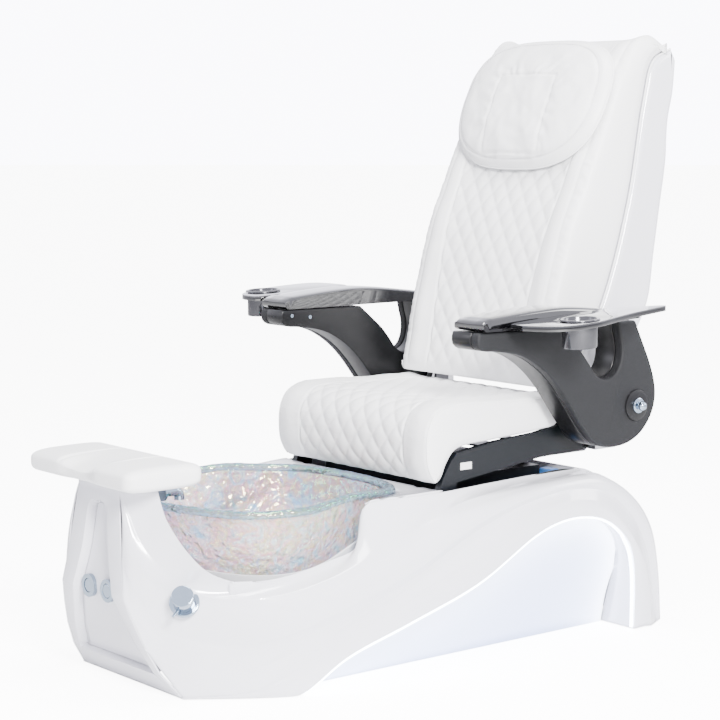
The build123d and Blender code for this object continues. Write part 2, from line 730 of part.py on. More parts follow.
with BuildPart() as mixer_knob:
    with BuildSketch(mixer_plane.offset(ESCUTCHEON_THICK + 1)):
        Circle(MIXER_KNOB_R)
    extrude(amount=MIXER_KNOB_LENGTH)
    fillet(mixer_knob.edges().filter_by(GeomType.CIRCLE), 2.5)
    with BuildSketch(mixer_plane.offset(ESCUTCHEON_THICK)):
        Circle(MIXER_STEM_R + RUN)
    extrude(amount=29, mode=Mode.SUBTRACT)
save(mixer_knob.part, "mixer_knob")

LEVER_DROP = 34.0
LEVER_TURN = 205.0  # clock position of the lever in the knob's own plane
lever_root = mixer_plane.offset(ESCUTCHEON_THICK + 14)
lever_way = lever_root.x_dir * sin(radians(LEVER_TURN)) + lever_root.y_dir * cos(radians(LEVER_TURN))
lever_start = lever_root.origin + lever_way * (MIXER_KNOB_R - 5)
lever_end = lever_root.origin + lever_way * (MIXER_KNOB_R + LEVER_DROP - 14) + lever_root.z_dir * 14
save(rod(lever_start, lever_end, 3.2) - mixer_knob.part, "mixer_lever")

# ---------------------------------------------------------------- water spout
SPOUT_X = 60.0
SPOUT_Z = 415.0
SPOUT_R = 11.0
with BuildPart() as water_spout:
    with BuildLine(Plane.YZ.offset(SPOUT_X)) as spout_path:
        FilletPolyline(
            (PILLAR_REAR_Y + FIT, SPOUT_Z), (PILLAR_REAR_Y + 46, SPOUT_Z),
            (PILLAR_REAR_Y + 46, SPOUT_Z - 20), radius=14,
        )
    with BuildSketch(Plane(origin=spout_path.line @ 0, z_dir=spout_path.line % 0)):
        Circle(SPOUT_R)
    sweep()
    with BuildSketch(Plane.XZ.offset(-PILLAR_REAR_Y - FIT)):
        with Locations((SPOUT_X, SPOUT_Z)):
            Circle(SPOUT_R + 8)
    extrude(amount=-5)
save(water_spout.part, "water_spout")

# ---------------------------------------------------------------- footrest
SLEEVE_WALL = 5.0
with BuildPart() as footrest_sleeve:
    with BuildSketch(Plane.XY.offset(PILLAR_TOP_Z - WALL - 110)):
        with Locations((0, POST_Y)):
            Circle(POST_R + RUN + SLEEVE_WALL)
            Circle(POST_R + RUN, mode=Mode.SUBTRACT)
    extrude(amount=110 - FIT)
    with BuildSketch(Plane.XY.offset(PILLAR_TOP_Z - WALL - FIT)):
        with Locations((0, POST_Y)):
            Circle(POST_R + 14)
            Circle(POST_R + RUN, mode=Mode.SUBTRACT)
    extrude(amount=-5)
save(footrest_sleeve.part, "footrest_sleeve")

with BuildPart() as footrest_post:
    with BuildSketch(Plane.XY.offset(PAD_BOTTOM_Z - 2 - POST_LENGTH)):
        with Locations((0, POST_Y)):
            Circle(POST_R)
    extrude(amount=POST_LENGTH)
    with BuildSketch(Plane.XY.offset(PILLAR_TOP_Z + FIT)):
        with Locations((0, POST_Y - 20)):
            RectangleRounded(130, 60, 8)
    extrude(amount=PAD_BOTTOM_Z - PILLAR_TOP_Z - 2 * FIT)
save(footrest_post.part, "footrest_post")

with BuildPart() as footrest_pad:
    with BuildSketch(Plane.XY.offset(PAD_BOTTOM_Z)):
        with Locations((0, (PAD_FRONT_Y + PAD_REAR_Y) / 2)):
            RectangleRounded(2 * PAD_HALF_WIDTH, PAD_REAR_Y - PAD_FRONT_Y, 45)
    extrude(amount=PAD_TOP_Z - PAD_BOTTOM_Z)
    fillet(footrest_pad.faces().sort_by(Axis.Z)[-1].edges(), 14)
save(footrest_pad.part, "footrest_pad")

# ---------------------------------------------------------------- pedestal and slide
pedestal_box = block(
    (-PEDESTAL_HALF_WIDTH, PEDESTAL_HALF_WIDTH), (PEDESTAL_FRONT_Y, PEDESTAL_REAR_Y),
    (DECK_Z + FIT, PEDESTAL_TOP_Z),
)
save(pedestal_box, "pedestal_box")

RAIL_Z = PEDESTAL_TOP_Z + 10
with BuildPart() as slide_rails:
    for rail_x in (-RAIL_X, RAIL_X):
        with BuildSketch(Plane.XZ.offset(-PEDESTAL_FRONT_Y + 10)):
            with Locations((rail_x, RAIL_Z)):
                Circle(RAIL_R)
        extrude(amount=-(PEDESTAL_REAR_Y - PEDESTAL_FRONT_Y + 20))
        for foot_y in (PEDESTAL_FRONT_Y + 8, PEDESTAL_REAR_Y - 8):
            with BuildSketch(Plane.XY.offset(PEDESTAL_TOP_Z + FIT)):
                with Locations((rail_x, foot_y)):
                    Rectangle(26, 12)
            extrude(amount=RAIL_Z - PEDESTAL_TOP_Z)
save(slide_rails.part, "slide_rails")

SEAT_PAN_Z = RAIL_Z + CARRIAGE_R + FIT
CARRIAGE_Y = (PEDESTAL_FRONT_Y + PEDESTAL_REAR_Y) / 2
with BuildPart() as slide_carriages:
    for rail_x in (-RAIL_X, RAIL_X):
        with BuildSketch(Plane.XZ.offset(-CARRIAGE_Y + 60)):
            with Locations((rail_x, RAIL_Z + 4)):
                Rectangle(2 * CARRIAGE_R, 2 * CARRIAGE_R - 8.6)
            with Locations((rail_x, RAIL_Z)):
                Circle(RAIL_R + RUN, mode=Mode.SUBTRACT)
        extrude(amount=-120)
save(slide_carriages.part, "slide_carriages")

MOTOR_R = 8.0
with BuildPart() as slide_motor:
    with BuildSketch(Plane.XZ.offset(-PEDESTAL_FRONT_Y - 40)):
        with Locations((0, PEDESTAL_TOP_Z + MOTOR_R + FIT + 1)):
            Circle(MOTOR_R)
    extrude(amount=-260)
save(slide_motor.part, "slide_motor")

with BuildPart() as hose_coupling:
    with BuildSketch(Plane.XY.offset(DECK_Z + FIT)):
        with Locations((205, PEDESTAL_REAR_Y + 28)):
            RectangleRounded(44, 30, 6)
    extrude(amount=42)
    chamfer(hose_coupling.faces().sort_by(Axis.Z)[-1].edges(), 3)
save(hose_coupling.part, "hose_coupling")

with BuildPart() as power_inlet:
    with BuildSketch(Plane.XZ.offset(-BASE_REAR_Y - FIT)):
        with Locations((-230, 60)):
            RectangleRounded(50, 32, 4)
            RectangleRounded(28, 18, 3, mode=Mode.SUBTRACT)
    extrude(amount=-4)
    with BuildSketch(Plane.XZ.offset(-BASE_REAR_Y - FIT)):
        with Locations((-230, 60)):
            RectangleRounded(28, 18, 3)
    extrude(amount=-1)
save(power_inlet.part, "power_inlet")

# ---------------------------------------------------------------- seat
seat_cushion_solid = side_bar(SEAT_PROFILE, -SEAT_HALF_WIDTH, SEAT_HALF_WIDTH)
save(seat_cushion_solid, "seat_cushion")

SEAT_FRAME_PROFILE = [
    (62, SEAT_PAN_Z), (500, SEAT_PAN_Z), (530, 440), (530, 500), (470, 508), (463, 545), (417, 545),
    (410, 482), (376, 480), (310, 474), (183, 466), (62, 454),
]
seat_plates = [
    side_bar(SEAT_FRAME_PROFILE, x - SEAT_FRAME_PLATE / 2, x + SEAT_FRAME_PLATE / 2)
    for x in (SEAT_FRAME_X, -SEAT_FRAME_X)
]
inner_half = SEAT_FRAME_X - SEAT_FRAME_PLATE / 2
pan_bars = [
    block((-inner_half, inner_half), span, (SEAT_PAN_Z, SEAT_PAN_Z + SEAT_PAN_THICK))
    for span in ((70, 110), (190, 260), (340, 400), (470, 500))
]
with BuildPart() as seat_frame:
    add(seat_plates)
    add(pan_bars)
    with BuildSketch(Plane.YZ.offset(-260)):
        with Locations((RECLINE_Y, RECLINE_Z)):
            Circle(RECLINE_PIN_R + RUN)
    extrude(amount=520, mode=Mode.SUBTRACT)
save(seat_frame.part, "seat_frame")

BRACKET_X = (282.0, 304.0)
BRACKET_OUTLINE = [(472, 430), (540, 430), (547, 540), (535, 578), (485, 578), (470, 545)]
for side, sign in SIDES:
    cover = side_bar(SEAT_COVER_PROFILE, SEAT_COVER_X, SEAT_COVER_X + SEAT_COVER_THICK)
    upright = side_bar(BRACKET_OUTLINE, *BRACKET_X)
    foot = block((SEAT_FRAME_X + SEAT_FRAME_PLATE / 2 + FIT, BRACKET_X[0] + 1), (474, 530), (430, 458))
    with BuildPart() as arm_bracket:
        add(upright)
        add(foot)
        with BuildSketch(Plane.YZ.offset(BRACKET_X[0] - 1)):
            with Locations((ARM_PIVOT_Y, ARM_PIVOT_Z)):
                Circle(ARM_BOLT_R + RUN)
        extrude(amount=BRACKET_X[1] - BRACKET_X[0] + 2, mode=Mode.SUBTRACT)
    bracket = arm_bracket.part
    if sign < 0:
        cover = mirror(cover, about=Plane.YZ)
        bracket = mirror(bracket, about=Plane.YZ)
    save(cover, "seat_cover_" + side)
    save(bracket, "arm_bracket_" + side)

with BuildPart() as label_plate:
    with BuildSketch(Plane.YZ.offset(SEAT_COVER_X + SEAT_COVER_THICK + FIT)):
        with Locations(LABEL_AT):
            Rectangle(LABEL_SIZE[0], LABEL_SIZE[1])
    extrude(amount=LABEL_SIZE[2])
save(label_plate.part, "label_plate")

# ---------------------------------------------------------------- backrest
save(side_bar(BACK_FRONT + BACK_WELT, -BACK_HALF_WIDTH, BACK_HALF_WIDTH), "back_cushion")

shell_front = [(y + SKIN_GAP + 1, z) for y, z in reversed(BACK_WELT)]
shell_line = shell_front + BACK_REAR
hollow_line = (
    [(395, 560)] + [(y - 25, z) for y, z in shell_front]
    + [(y - BACK_SHELL_WALL, z - 4) for y, z in BACK_REAR] + [(605, 560)]
)
shell_block = side_bar(shell_line, -BACK_HALF_WIDTH, BACK_HALF_WIDTH)
shell_hollow = side_bar(
    hollow_line, -BACK_HALF_WIDTH + BACK_SHELL_WALL, BACK_HALF_WIDTH - BACK_SHELL_WALL
)
save(shell_block - shell_hollow, "back_shell")

BACK_FRAME_LINE = [
    (420, 500), (424, 560), (432, 590), (460, 624), (556, 776), (636, 1012), (684, 1250),
    (702, 1310), (722, 1310), (712, 1250), (668, 1012), (600, 776), (505, 640), (466, 560), (462, 500),
]
back_plates = [
    side_bar(BACK_FRAME_LINE, x - BACK_FRAME_PLATE / 2, x + BACK_FRAME_PLATE / 2)
    for x in (BACK_FRAME_X, -BACK_FRAME_X)
]
CROSS_TUBES = ((712, 1292), (505, 672))
cross_tubes = [rod((-BACK_FRAME_X, y, z), (BACK_FRAME_X, y, z), 8) for y, z in CROSS_TUBES]
recline_pin = rod(
    (-SEAT_FRAME_X - 9, RECLINE_Y, RECLINE_Z), (SEAT_FRAME_X + 9, RECLINE_Y, RECLINE_Z), RECLINE_PIN_R
)
with BuildPart() as back_frame:
    add(back_plates)
    add(cross_tubes)
    add(recline_pin)
save(back_frame.part, "back_frame")

pillow_plane = Plane(
    origin=(0, PILLOW_AT[0], PILLOW_AT[1]),
    x_dir=(1, 0, 0),
    z_dir=(0, -cos(radians(PILLOW_TILT)), sin(radians(PILLOW_TILT))),
)
with BuildPart() as headrest_pillow:
    with BuildSketch(pillow_plane):
        RectangleRounded(2 * PILLOW_HALF_WIDTH, PILLOW_LENGTH, PILLOW_CORNER)
    extrude(amount=PILLOW_THICK)
    fillet(headrest_pillow.faces().sort_by_distance((0, 300, 1400))[0].edges(), 22)
save(headrest_pillow.part, "headrest_pillow")

track_low = Vector(0, *MASSAGE_LOW)
track_high = Vector(0, *MASSAGE_HIGH)
track_way = (track_high - track_low).normalized()
TRACK_PLAY = 12.0
CARRIAGE_START = 115.0
CARRIAGE_BODY = (240.0, 44.0, 90.0)
track_plane = Plane(origin=track_low + track_way * CARRIAGE_START, x_dir=(1, 0, 0), z_dir=track_way)
with BuildPart() as massage_rails:
    for spot in (0, (track_high - track_low).length - TRACK_PLAY):
        with BuildSketch(Plane(origin=track_low + track_way * spot, x_dir=(1, 0, 0), z_dir=track_way)):
            Rectangle(2 * (BACK_FRAME_X - BACK_FRAME_PLATE / 2 - FIT), 20)
        extrude(amount=TRACK_PLAY)
    with BuildSketch(Plane(origin=track_low, x_dir=(1, 0, 0), z_dir=track_way)):
        with Locations((CARRIAGE_TRACK_X, 0), (-CARRIAGE_TRACK_X, 0)):
            Circle(MASSAGE_ROD_R)
    extrude(amount=(track_high - track_low).length)
save(massage_rails.part, "massage_rails")

ROLLER_R = 13.0
front_way = track_plane.y_dir if track_plane.y_dir.Y < 0 else track_plane.y_dir * -1
roller_line = track_plane.origin + front_way * (CARRIAGE_BODY[1] / 2 + ROLLER_R / 2)
with BuildPart() as massage_carriage:
    with BuildSketch(track_plane.offset(-CARRIAGE_BODY[2] / 2)):
        Rectangle(CARRIAGE_BODY[0], CARRIAGE_BODY[1])
        with Locations((CARRIAGE_TRACK_X, 0), (-CARRIAGE_TRACK_X, 0)):
            Circle(MASSAGE_ROD_R + RUN, mode=Mode.SUBTRACT)
    extrude(amount=CARRIAGE_BODY[2])
    for roll_x in (-60.0, 60.0):
        for shift in (-25.0, 25.0):
            with Locations(roller_line + Vector(roll_x, 0, 0) + track_way * shift):
                Sphere(ROLLER_R)
save(massage_carriage.part, "massage_carriage")

# ---------------------------------------------------------------- arms
for side, sign in SIDES:
    window = side_bar(ARM_WINDOW, ARM_INNER_X - 1, ARM_OUTER_X + 1)
    frame_bar = side_bar(ARM_LOWER, ARM_INNER_X, ARM_SPLIT_X)
    cover_bar = side_bar(ARM_LOWER, ARM_SPLIT_X + FIT, ARM_OUTER_X)
    bore = rod(
        (ARM_INNER_X - 1, ARM_PIVOT_Y, ARM_PIVOT_Z), (ARM_OUTER_X + 1, ARM_PIVOT_Y, ARM_PIVOT_Z),
        ARM_BOLT_R + FIT,
    )
    arm_frame = frame_bar - window - bore
    arm_cover = cover_bar - window - bore
    armrest = side_bar(ARMREST_PROFILE, ARMREST_INNER_X, ARMREST_OUTER_X)
    bolt = rod(
        (BRACKET_X[0] + 2, ARM_PIVOT_Y, ARM_PIVOT_Z), (ARM_OUTER_X + 12, ARM_PIVOT_Y, ARM_PIVOT_Z),
        ARM_BOLT_R,
    )
    washer = rod(
        (ARM_OUTER_X + FIT, ARM_PIVOT_Y, ARM_PIVOT_Z), (ARM_OUTER_X + 5, ARM_PIVOT_Y, ARM_PIVOT_Z),
        ARM_WASHER_R,
    )
    knob = Pos(ARM_OUTER_X + 18, ARM_PIVOT_Y, ARM_PIVOT_Z) * Sphere(ARM_BOLT_R + 2)
    arm_bolt = bolt + washer + knob
    for name, part in (
        ("arm_frame_", arm_frame), ("arm_cover_", arm_cover), ("armrest_", armrest), ("arm_bolt_", arm_bolt),
    ):
        if sign < 0:
            part = mirror(part, about=Plane.YZ)
        save(part, name + side)

# ---------------------------------------------------------------- trays
BRACKET_DROP = 3.0
BRACKET_THICK = 9.0
BRACKET_REACH = 52.0
TRAYS = (
    ("left", TRAY_LEFT, TRAY_LEFT_TOP_Z, TRAY_LEFT_PIN, CUP_LEFT, 1),
    ("right", TRAY_RIGHT, TRAY_RIGHT_TOP_Z, TRAY_RIGHT_PIN, CUP_RIGHT, -1),
)
for side, outline, top_z, pin, cup, sign in TRAYS:
    plane = tray_plane(top_z)
    pin_spot = tray_spot(plane, pin)
    cup_spot = tray_spot(plane, cup)
    with BuildPart() as tray:
        with BuildSketch(plane):
            with BuildLine():
                Polyline(*[tray_spot(plane, point) for point in outline], close=True)
            make_face()
            with Locations(cup_spot):
                Circle(CUP_R + FIT, mode=Mode.SUBTRACT)
        extrude(amount=-TRAY_THICK)
        with BuildSketch(plane.offset(-TRAY_THICK)):
            with Locations(pin_spot):
                Circle(TRAY_PIN_R)
        extrude(amount=-BRACKET_DROP - BRACKET_THICK - 2)
    save(tray.part, "tray_" + side)

    with BuildPart() as tray_bracket:
        with BuildSketch(plane.offset(-TRAY_THICK - BRACKET_DROP)):
            with Locations((sign * (ARMREST_OUTER_X + FIT + BRACKET_REACH / 2), pin_spot[1])):
                Rectangle(BRACKET_REACH, 46)
            with Locations(pin_spot):
                Circle(TRAY_PIN_R + RUN, mode=Mode.SUBTRACT)
        extrude(amount=-BRACKET_THICK)
    save(tray_bracket.part, "tray_bracket_" + side)

    with BuildPart() as cup_holder:
        with BuildSketch(plane.offset(FIT)):
            with Locations(cup_spot):
                Circle(CUP_FLANGE_R)
        extrude(amount=2)
        with BuildSketch(plane.offset(FIT)):
            with Locations(cup_spot):
                Circle(CUP_R)
        extrude(amount=-CUP_DEPTH)
        with BuildSketch(plane.offset(4)):
            with Locations(cup_spot):
                Circle(CUP_R - CUP_WALL)
        extrude(amount=-CUP_DEPTH, mode=Mode.SUBTRACT)
    save(cup_holder.part, "cup_holder_" + side)
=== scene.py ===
"""Looks of a pedicure spa chair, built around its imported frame. Metres, +Z up, the sitter faces -Y."""

from math import cos, exp, pi, radians, sin

import bmesh
import bpy
import numpy as np
from bpy.props import FloatProperty, FloatVectorProperty, IntProperty, PointerProperty
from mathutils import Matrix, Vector, noise


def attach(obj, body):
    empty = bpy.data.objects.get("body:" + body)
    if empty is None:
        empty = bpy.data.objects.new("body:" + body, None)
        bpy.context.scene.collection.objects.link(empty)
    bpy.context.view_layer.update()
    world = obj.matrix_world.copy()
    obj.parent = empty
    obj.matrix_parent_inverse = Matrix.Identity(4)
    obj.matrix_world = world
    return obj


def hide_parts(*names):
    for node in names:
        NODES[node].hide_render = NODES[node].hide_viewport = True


bl_info = {
    "name": "Pedicure Spa Chair",
    "version": (1, 0, 0),
    "blender": (4, 5, 0),
    "location": "View3D > Sidebar > Spa Chair",
    "description": "Builds the skins, upholstery, glass and trim of a pedicure spa chair on its frame",
    "category": "Object",
}

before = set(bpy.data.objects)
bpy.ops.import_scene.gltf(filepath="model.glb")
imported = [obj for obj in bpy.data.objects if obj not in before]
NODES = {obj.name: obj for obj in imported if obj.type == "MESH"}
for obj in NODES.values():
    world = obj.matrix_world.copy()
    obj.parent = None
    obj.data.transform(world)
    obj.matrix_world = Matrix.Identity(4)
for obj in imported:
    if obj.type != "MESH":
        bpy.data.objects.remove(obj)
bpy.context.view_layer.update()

MM = 0.001
SIDES = (("left", 1), ("right", -1))


# ---------------------------------------------------------------- settings
class ChairSizes(bpy.types.PropertyGroup):
    quilt_width: FloatProperty(name="Quilt width", description="Width of one diamond across the seat",
                               default=0.054, unit="LENGTH")
    quilt_height: FloatProperty(name="Quilt height", description="Length of one diamond along the seat",
                                default=0.066, unit="LENGTH")
    quilt_depth: FloatProperty(name="Quilt depth",
                               description="Depth of the stitched lines between diamonds", default=0.0048,
                               unit="LENGTH")
    piping_radius: FloatProperty(name="Piping radius", description="Radius of the cord sewn into the seams",
                                 default=0.0028, unit="LENGTH")
    stitch_length: FloatProperty(name="Stitch length", description="Length of one stitch", default=0.0042,
                                 unit="LENGTH")
    hammer_size: FloatProperty(name="Hammer size", description="Size of the dimples in the glass",
                               default=0.016, unit="LENGTH")
    screw_radius: FloatProperty(name="Screw radius", description="Radius of the small screw heads",
                                default=0.0045, unit="LENGTH")
    strip_count: IntProperty(name="Base stations", description="Stations along each side of the base",
                             default=150, min=40)


class ChairColours(bpy.types.PropertyGroup):
    shell: FloatVectorProperty(name="Shell", description="Moulded shell", default=(0.70, 0.70, 0.75),
                               subtype="COLOR")
    leather: FloatVectorProperty(name="Leather", description="Seat and back covers",
                                 default=(0.83, 0.83, 0.84), subtype="COLOR")
    pad: FloatVectorProperty(name="Pad", description="Footrest pad", default=(0.85, 0.85, 0.86),
                             subtype="COLOR")
    arm: FloatVectorProperty(name="Arm", description="Textured arm covers",
                             default=(0.0045, 0.0047, 0.0055), subtype="COLOR")
    lacquer: FloatVectorProperty(name="Lacquer", description="Trays and armrest tops",
                                 default=(0.0012, 0.0012, 0.0016), subtype="COLOR")
    light: FloatVectorProperty(name="Light", description="Lit edge of the side panels",
                               default=(0.80, 0.88, 1.0), subtype="COLOR")


def sizes():
    return bpy.context.scene.chair_sizes


def colours():
    return bpy.context.scene.chair_colours


# ---------------------------------------------------------------- shape helpers
def curve_points(points, count, closed=False):
    """A smooth line through the points, as count points evenly spaced along it."""
    given = np.array(points, float)
    if closed:
        given = np.vstack([given[-2:], given, given[:3]])
    else:
        given = np.vstack([2 * given[0] - given[1], given, 2 * given[-1] - given[-2]])
    line = []
    for first in range(1, len(given) - 2):
        a, b, c, d = given[first - 1 : first + 3]
        knots = [0.0]
        for start, end in ((a, b), (b, c), (c, d)):
            knots.append(knots[-1] + max(np.linalg.norm(end - start), 1e-9) ** 0.5)
        t0, t1, t2, t3 = knots
        for t in np.linspace(t1, t2, 17)[:-1]:
            a1 = (t1 - t) / (t1 - t0) * a + (t - t0) / (t1 - t0) * b
            a2 = (t2 - t) / (t2 - t1) * b + (t - t1) / (t2 - t1) * c
            a3 = (t3 - t) / (t3 - t2) * c + (t - t2) / (t3 - t2) * d
            b1 = (t2 - t) / (t2 - t0) * a1 + (t - t0) / (t2 - t0) * a2
            b2 = (t3 - t) / (t3 - t1) * a2 + (t - t1) / (t3 - t1) * a3
            line.append((t2 - t) / (t2 - t1) * b1 + (t - t1) / (t2 - t1) * b2)
    line.append(given[-2])
    line = np.array(line)
    if closed:
        line = line[16:-16]
    return spread(line, count, closed)


def spread(line, count, closed=False):
    """A line sampled again at count evenly spaced points."""
    line = np.array(line, float)
    steps = np.r_[0, np.cumsum(np.linalg.norm(np.diff(line, axis=0), axis=1))]
    places = np.linspace(0, steps[-1], count + 1 if closed else count)
    if closed:
        places = places[:-1]
    return np.column_stack([np.interp(places, steps, line[:, k]) for k in range(line.shape[1])])


def put(name, verts, faces, material, soft=True, turn_out=False):
    """A mesh object from points in metres."""
    data = bpy.data.meshes.new(name)
    data.from_pydata([tuple(v) for v in verts], [], faces)
    data.validate()
    if turn_out:
        work = bmesh.new()
        work.from_mesh(data)
        bmesh.ops.remove_doubles(work, verts=work.verts, dist=1e-6)
        bmesh.ops.recalc_face_normals(work, faces=work.faces)
        work.to_mesh(data)
        work.free()
    data.polygons.foreach_set("use_smooth", [soft] * len(data.polygons))
    data.materials.append(material)
    piece = bpy.data.objects.new(name, data)
    bpy.context.scene.collection.objects.link(piece)
    return piece


def net(rows, around=False, base=0, flip=False):
    """Faces that join rows of equally many points."""
    deep, wide = len(rows), len(rows[0])
    faces = []
    for i in range(deep - 1):
        for j in range(wide if around else wide - 1):
            k = (j + 1) % wide
            quad = [base + i * wide + j, base + i * wide + k, base + (i + 1) * wide + k,
                    base + (i + 1) * wide + j]
            faces.append(quad[::-1] if flip else quad)
    return faces


def tube(name, rings, material, soft=True):
    """A closed body through rings, its two ends closed by fans."""
    rings = [np.array(r, float) for r in rings]
    wide = len(rings[0])
    verts = np.vstack(rings)
    faces = net(rings, around=True)
    first, last = rings[0].mean(axis=0), rings[-1].mean(axis=0)
    verts = np.vstack([verts, first, last])
    end = len(verts)
    for j in range(wide):
        k = (j + 1) % wide
        faces.append([end - 2, k, j])
        faces.append([end - 1, (len(rings) - 1) * wide + j, (len(rings) - 1) * wide + k])
    return put(name, verts, faces, material, soft, turn_out=True)


def plate(name, outline, low, high, material, edge=0.003, axis="x", steps=3, hole=None):
    """A flat plate with rounded edges: a plan outline carried along an axis."""
    work = bmesh.new()
    loops = [outline] + ([hole] if hole is not None else [])
    edges, first = [], None
    for loop in loops:
        corners = []
        for u, v in loop:
            corners.append(work.verts.new((low, u, v) if axis == "x" else (u, v,
                    low) if axis == "z" else (u, low, v)))
        edges += [work.edges.new((corners[i - 1], corners[i])) for i in range(len(corners))]
        first = first or corners
    if hole is None:
        work.faces.new(first)
    else:
        bmesh.ops.triangle_fill(work, use_beauty=True, use_dissolve=False, edges=edges)
    step = {"x": Vector((high - low, 0, 0)), "y": Vector((0, high - low, 0)),
            "z": Vector((0, 0, high - low))}[axis]
    grown = bmesh.ops.extrude_face_region(work, geom=work.faces[:], use_keep_orig=True)
    bmesh.ops.translate(work, vec=step, verts=[g for g in grown["geom"] if isinstance(g, bmesh.types.BMVert)])
    bmesh.ops.remove_doubles(work, verts=work.verts, dist=1e-7)
    bmesh.ops.recalc_face_normals(work, faces=work.faces)
    if edge:
        rims = [e for e in work.edges if len(e.link_faces) == 2 and e.calc_face_angle(0) > radians(50)]
        bmesh.ops.bevel(work, geom=rims, offset=edge, segments=steps, profile=0.5, affect="EDGES",
                        clamp_overlap=True)
    data = bpy.data.meshes.new(name)
    work.to_mesh(data)
    work.free()
    data.materials.append(material)
    for face in data.polygons:
        face.use_smooth = True
    piece = bpy.data.objects.new(name, data)
    bpy.context.scene.collection.objects.link(piece)
    sharpen(piece, 35)
    return piece


def sharpen(piece, angle):
    """Keeps edges steeper than the angle crisp in a smooth-shaded mesh."""
    work = bmesh.new()
    work.from_mesh(piece.data)
    for edge in work.edges:
        if len(edge.link_faces) == 2 and edge.calc_face_angle(0) > radians(angle):
            edge.smooth = False
    work.to_mesh(piece.data)
    work.free()


def settle(piece, body, nodes=()):
    """Rides the piece on its body, standing for its CAD nodes."""
    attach(piece, body)
    if nodes:
        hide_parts(*nodes)
    return piece


def paint(piece, name, values):
    """A number for every point of the mesh, for its material to read."""
    layer = piece.data.attributes.new(name, "FLOAT", "POINT")
    layer.data.foreach_set("value", [float(v) for v in values])


# ---------------------------------------------------------------- materials
def shader_group(name, inputs, outputs):
    """An empty shader group with named inputs and outputs."""
    tree = bpy.data.node_groups.new(name, "ShaderNodeTree")
    for label, kind, default in inputs:
        socket = tree.interface.new_socket(label, in_out="INPUT", socket_type=kind)
        socket.default_value = default
    for label, kind in outputs:
        tree.interface.new_socket(label, in_out="OUTPUT", socket_type=kind)
    start, end = tree.nodes.new("NodeGroupInput"), tree.nodes.new("NodeGroupOutput")
    return tree, start, end


def node(tree, kind, links=None, **values):
    """A node with its values set and its inputs linked."""
    made = tree.nodes.new(kind)
    for key, value in values.items():
        setattr(made, key, value)
    for key, value in (links or {}).items():
        if isinstance(value, bpy.types.NodeSocket):
            tree.links.new(value, made.inputs[key])
        else:
            made.inputs[key].default_value = value
    return made


def tone_group():
    """Slight cloudy change of colour and roughness over a surface."""
    tree, start, end = shader_group(
        "surface_tone",
        [("Color", "NodeSocketColor", (1, 1, 1, 1)), ("Shade", "NodeSocketColor", (0, 0, 0, 1)),
         ("Scale", "NodeSocketFloat", 12.0),
         ("Amount", "NodeSocketFloat", 0.1), ("Roughness", "NodeSocketFloat", 0.4),
         ("Spread", "NodeSocketFloat", 0.1)],
        [("Color", "NodeSocketColor"), ("Roughness", "NodeSocketFloat")],
    )
    place = node(tree, "ShaderNodeTexCoord")
    cloud = node(tree, "ShaderNodeTexNoise",
                 {"Vector": place.outputs["Object"], "Scale": start.outputs["Scale"], "Detail": 5.0,
                  "Roughness": 0.6})
    fade = node(tree, "ShaderNodeMath", {0: cloud.outputs["Fac"], 1: start.outputs["Amount"]},
                operation="MULTIPLY")
    mix = node(tree, "ShaderNodeMix",
               {0: fade.outputs[0], 6: start.outputs["Color"], 7: start.outputs["Shade"]}, data_type="RGBA")
    centre = node(tree, "ShaderNodeMath", {0: cloud.outputs["Fac"], 1: 0.5}, operation="SUBTRACT")
    rough = node(tree, "ShaderNodeMath",
                 {0: centre.outputs[0], 1: start.outputs["Spread"], 2: start.outputs["Roughness"]},
                 operation="MULTIPLY_ADD")
    tree.links.new(mix.outputs[2], end.inputs["Color"])
    tree.links.new(rough.outputs[0], end.inputs["Roughness"])
    return tree


def leather_group():
    """Height of fine leather pores over soft wrinkles."""
    tree, start, end = shader_group(
        "leather_grain",
        [("Pore Scale", "NodeSocketFloat", 420.0), ("Wrinkle Scale", "NodeSocketFloat", 22.0),
         ("Wrinkle", "NodeSocketFloat", 0.8)],
        [("Height", "NodeSocketFloat")],
    )
    place = node(tree, "ShaderNodeTexCoord")
    pores = node(tree, "ShaderNodeTexVoronoi",
                 {"Vector": place.outputs["Object"], "Scale": start.outputs["Pore Scale"]},
                 feature="SMOOTH_F1")
    folds = node(tree, "ShaderNodeTexNoise",
                 {"Vector": place.outputs["Object"], "Scale": start.outputs["Wrinkle Scale"], "Detail": 4.0,
                  "Distortion": 0.6})
    fold_height = node(tree, "ShaderNodeMath", {0: folds.outputs["Fac"], 1: start.outputs["Wrinkle"]},
                       operation="MULTIPLY")
    total = node(tree, "ShaderNodeMath", {0: pores.outputs["Distance"], 1: 0.22, 2: fold_height.outputs[0]},
                 operation="MULTIPLY_ADD")
    tree.links.new(total.outputs[0], end.inputs["Height"])
    return tree


def speckle_group():
    """Height and mask of the fine pebbled texture of moulded covers."""
    tree, start, end = shader_group(
        "pebble_texture",
        [("Scale", "NodeSocketFloat", 700.0)],
        [("Height", "NodeSocketFloat"), ("Mask", "NodeSocketFloat")],
    )
    place = node(tree, "ShaderNodeTexCoord")
    cells = node(tree, "ShaderNodeTexVoronoi",
                 {"Vector": place.outputs["Object"], "Scale": start.outputs["Scale"]}, feature="F1")
    fine = node(tree, "ShaderNodeTexNoise",
                {"Vector": place.outputs["Object"], "Scale": 900.0, "Detail": 3.0})
    mask = node(tree, "ShaderNodeMapRange",
                {"Value": cells.outputs["Distance"], "From Min": 0.15, "From Max": 0.55, "To Min": 1.0,
                 "To Max": 0.0})
    total = node(tree, "ShaderNodeMath", {0: mask.outputs[0], 1: 0.8, 2: fine.outputs["Fac"]},
                 operation="MULTIPLY_ADD")
    tree.links.new(total.outputs[0], end.inputs["Height"])
    tree.links.new(mask.outputs[0], end.inputs["Mask"])
    return tree


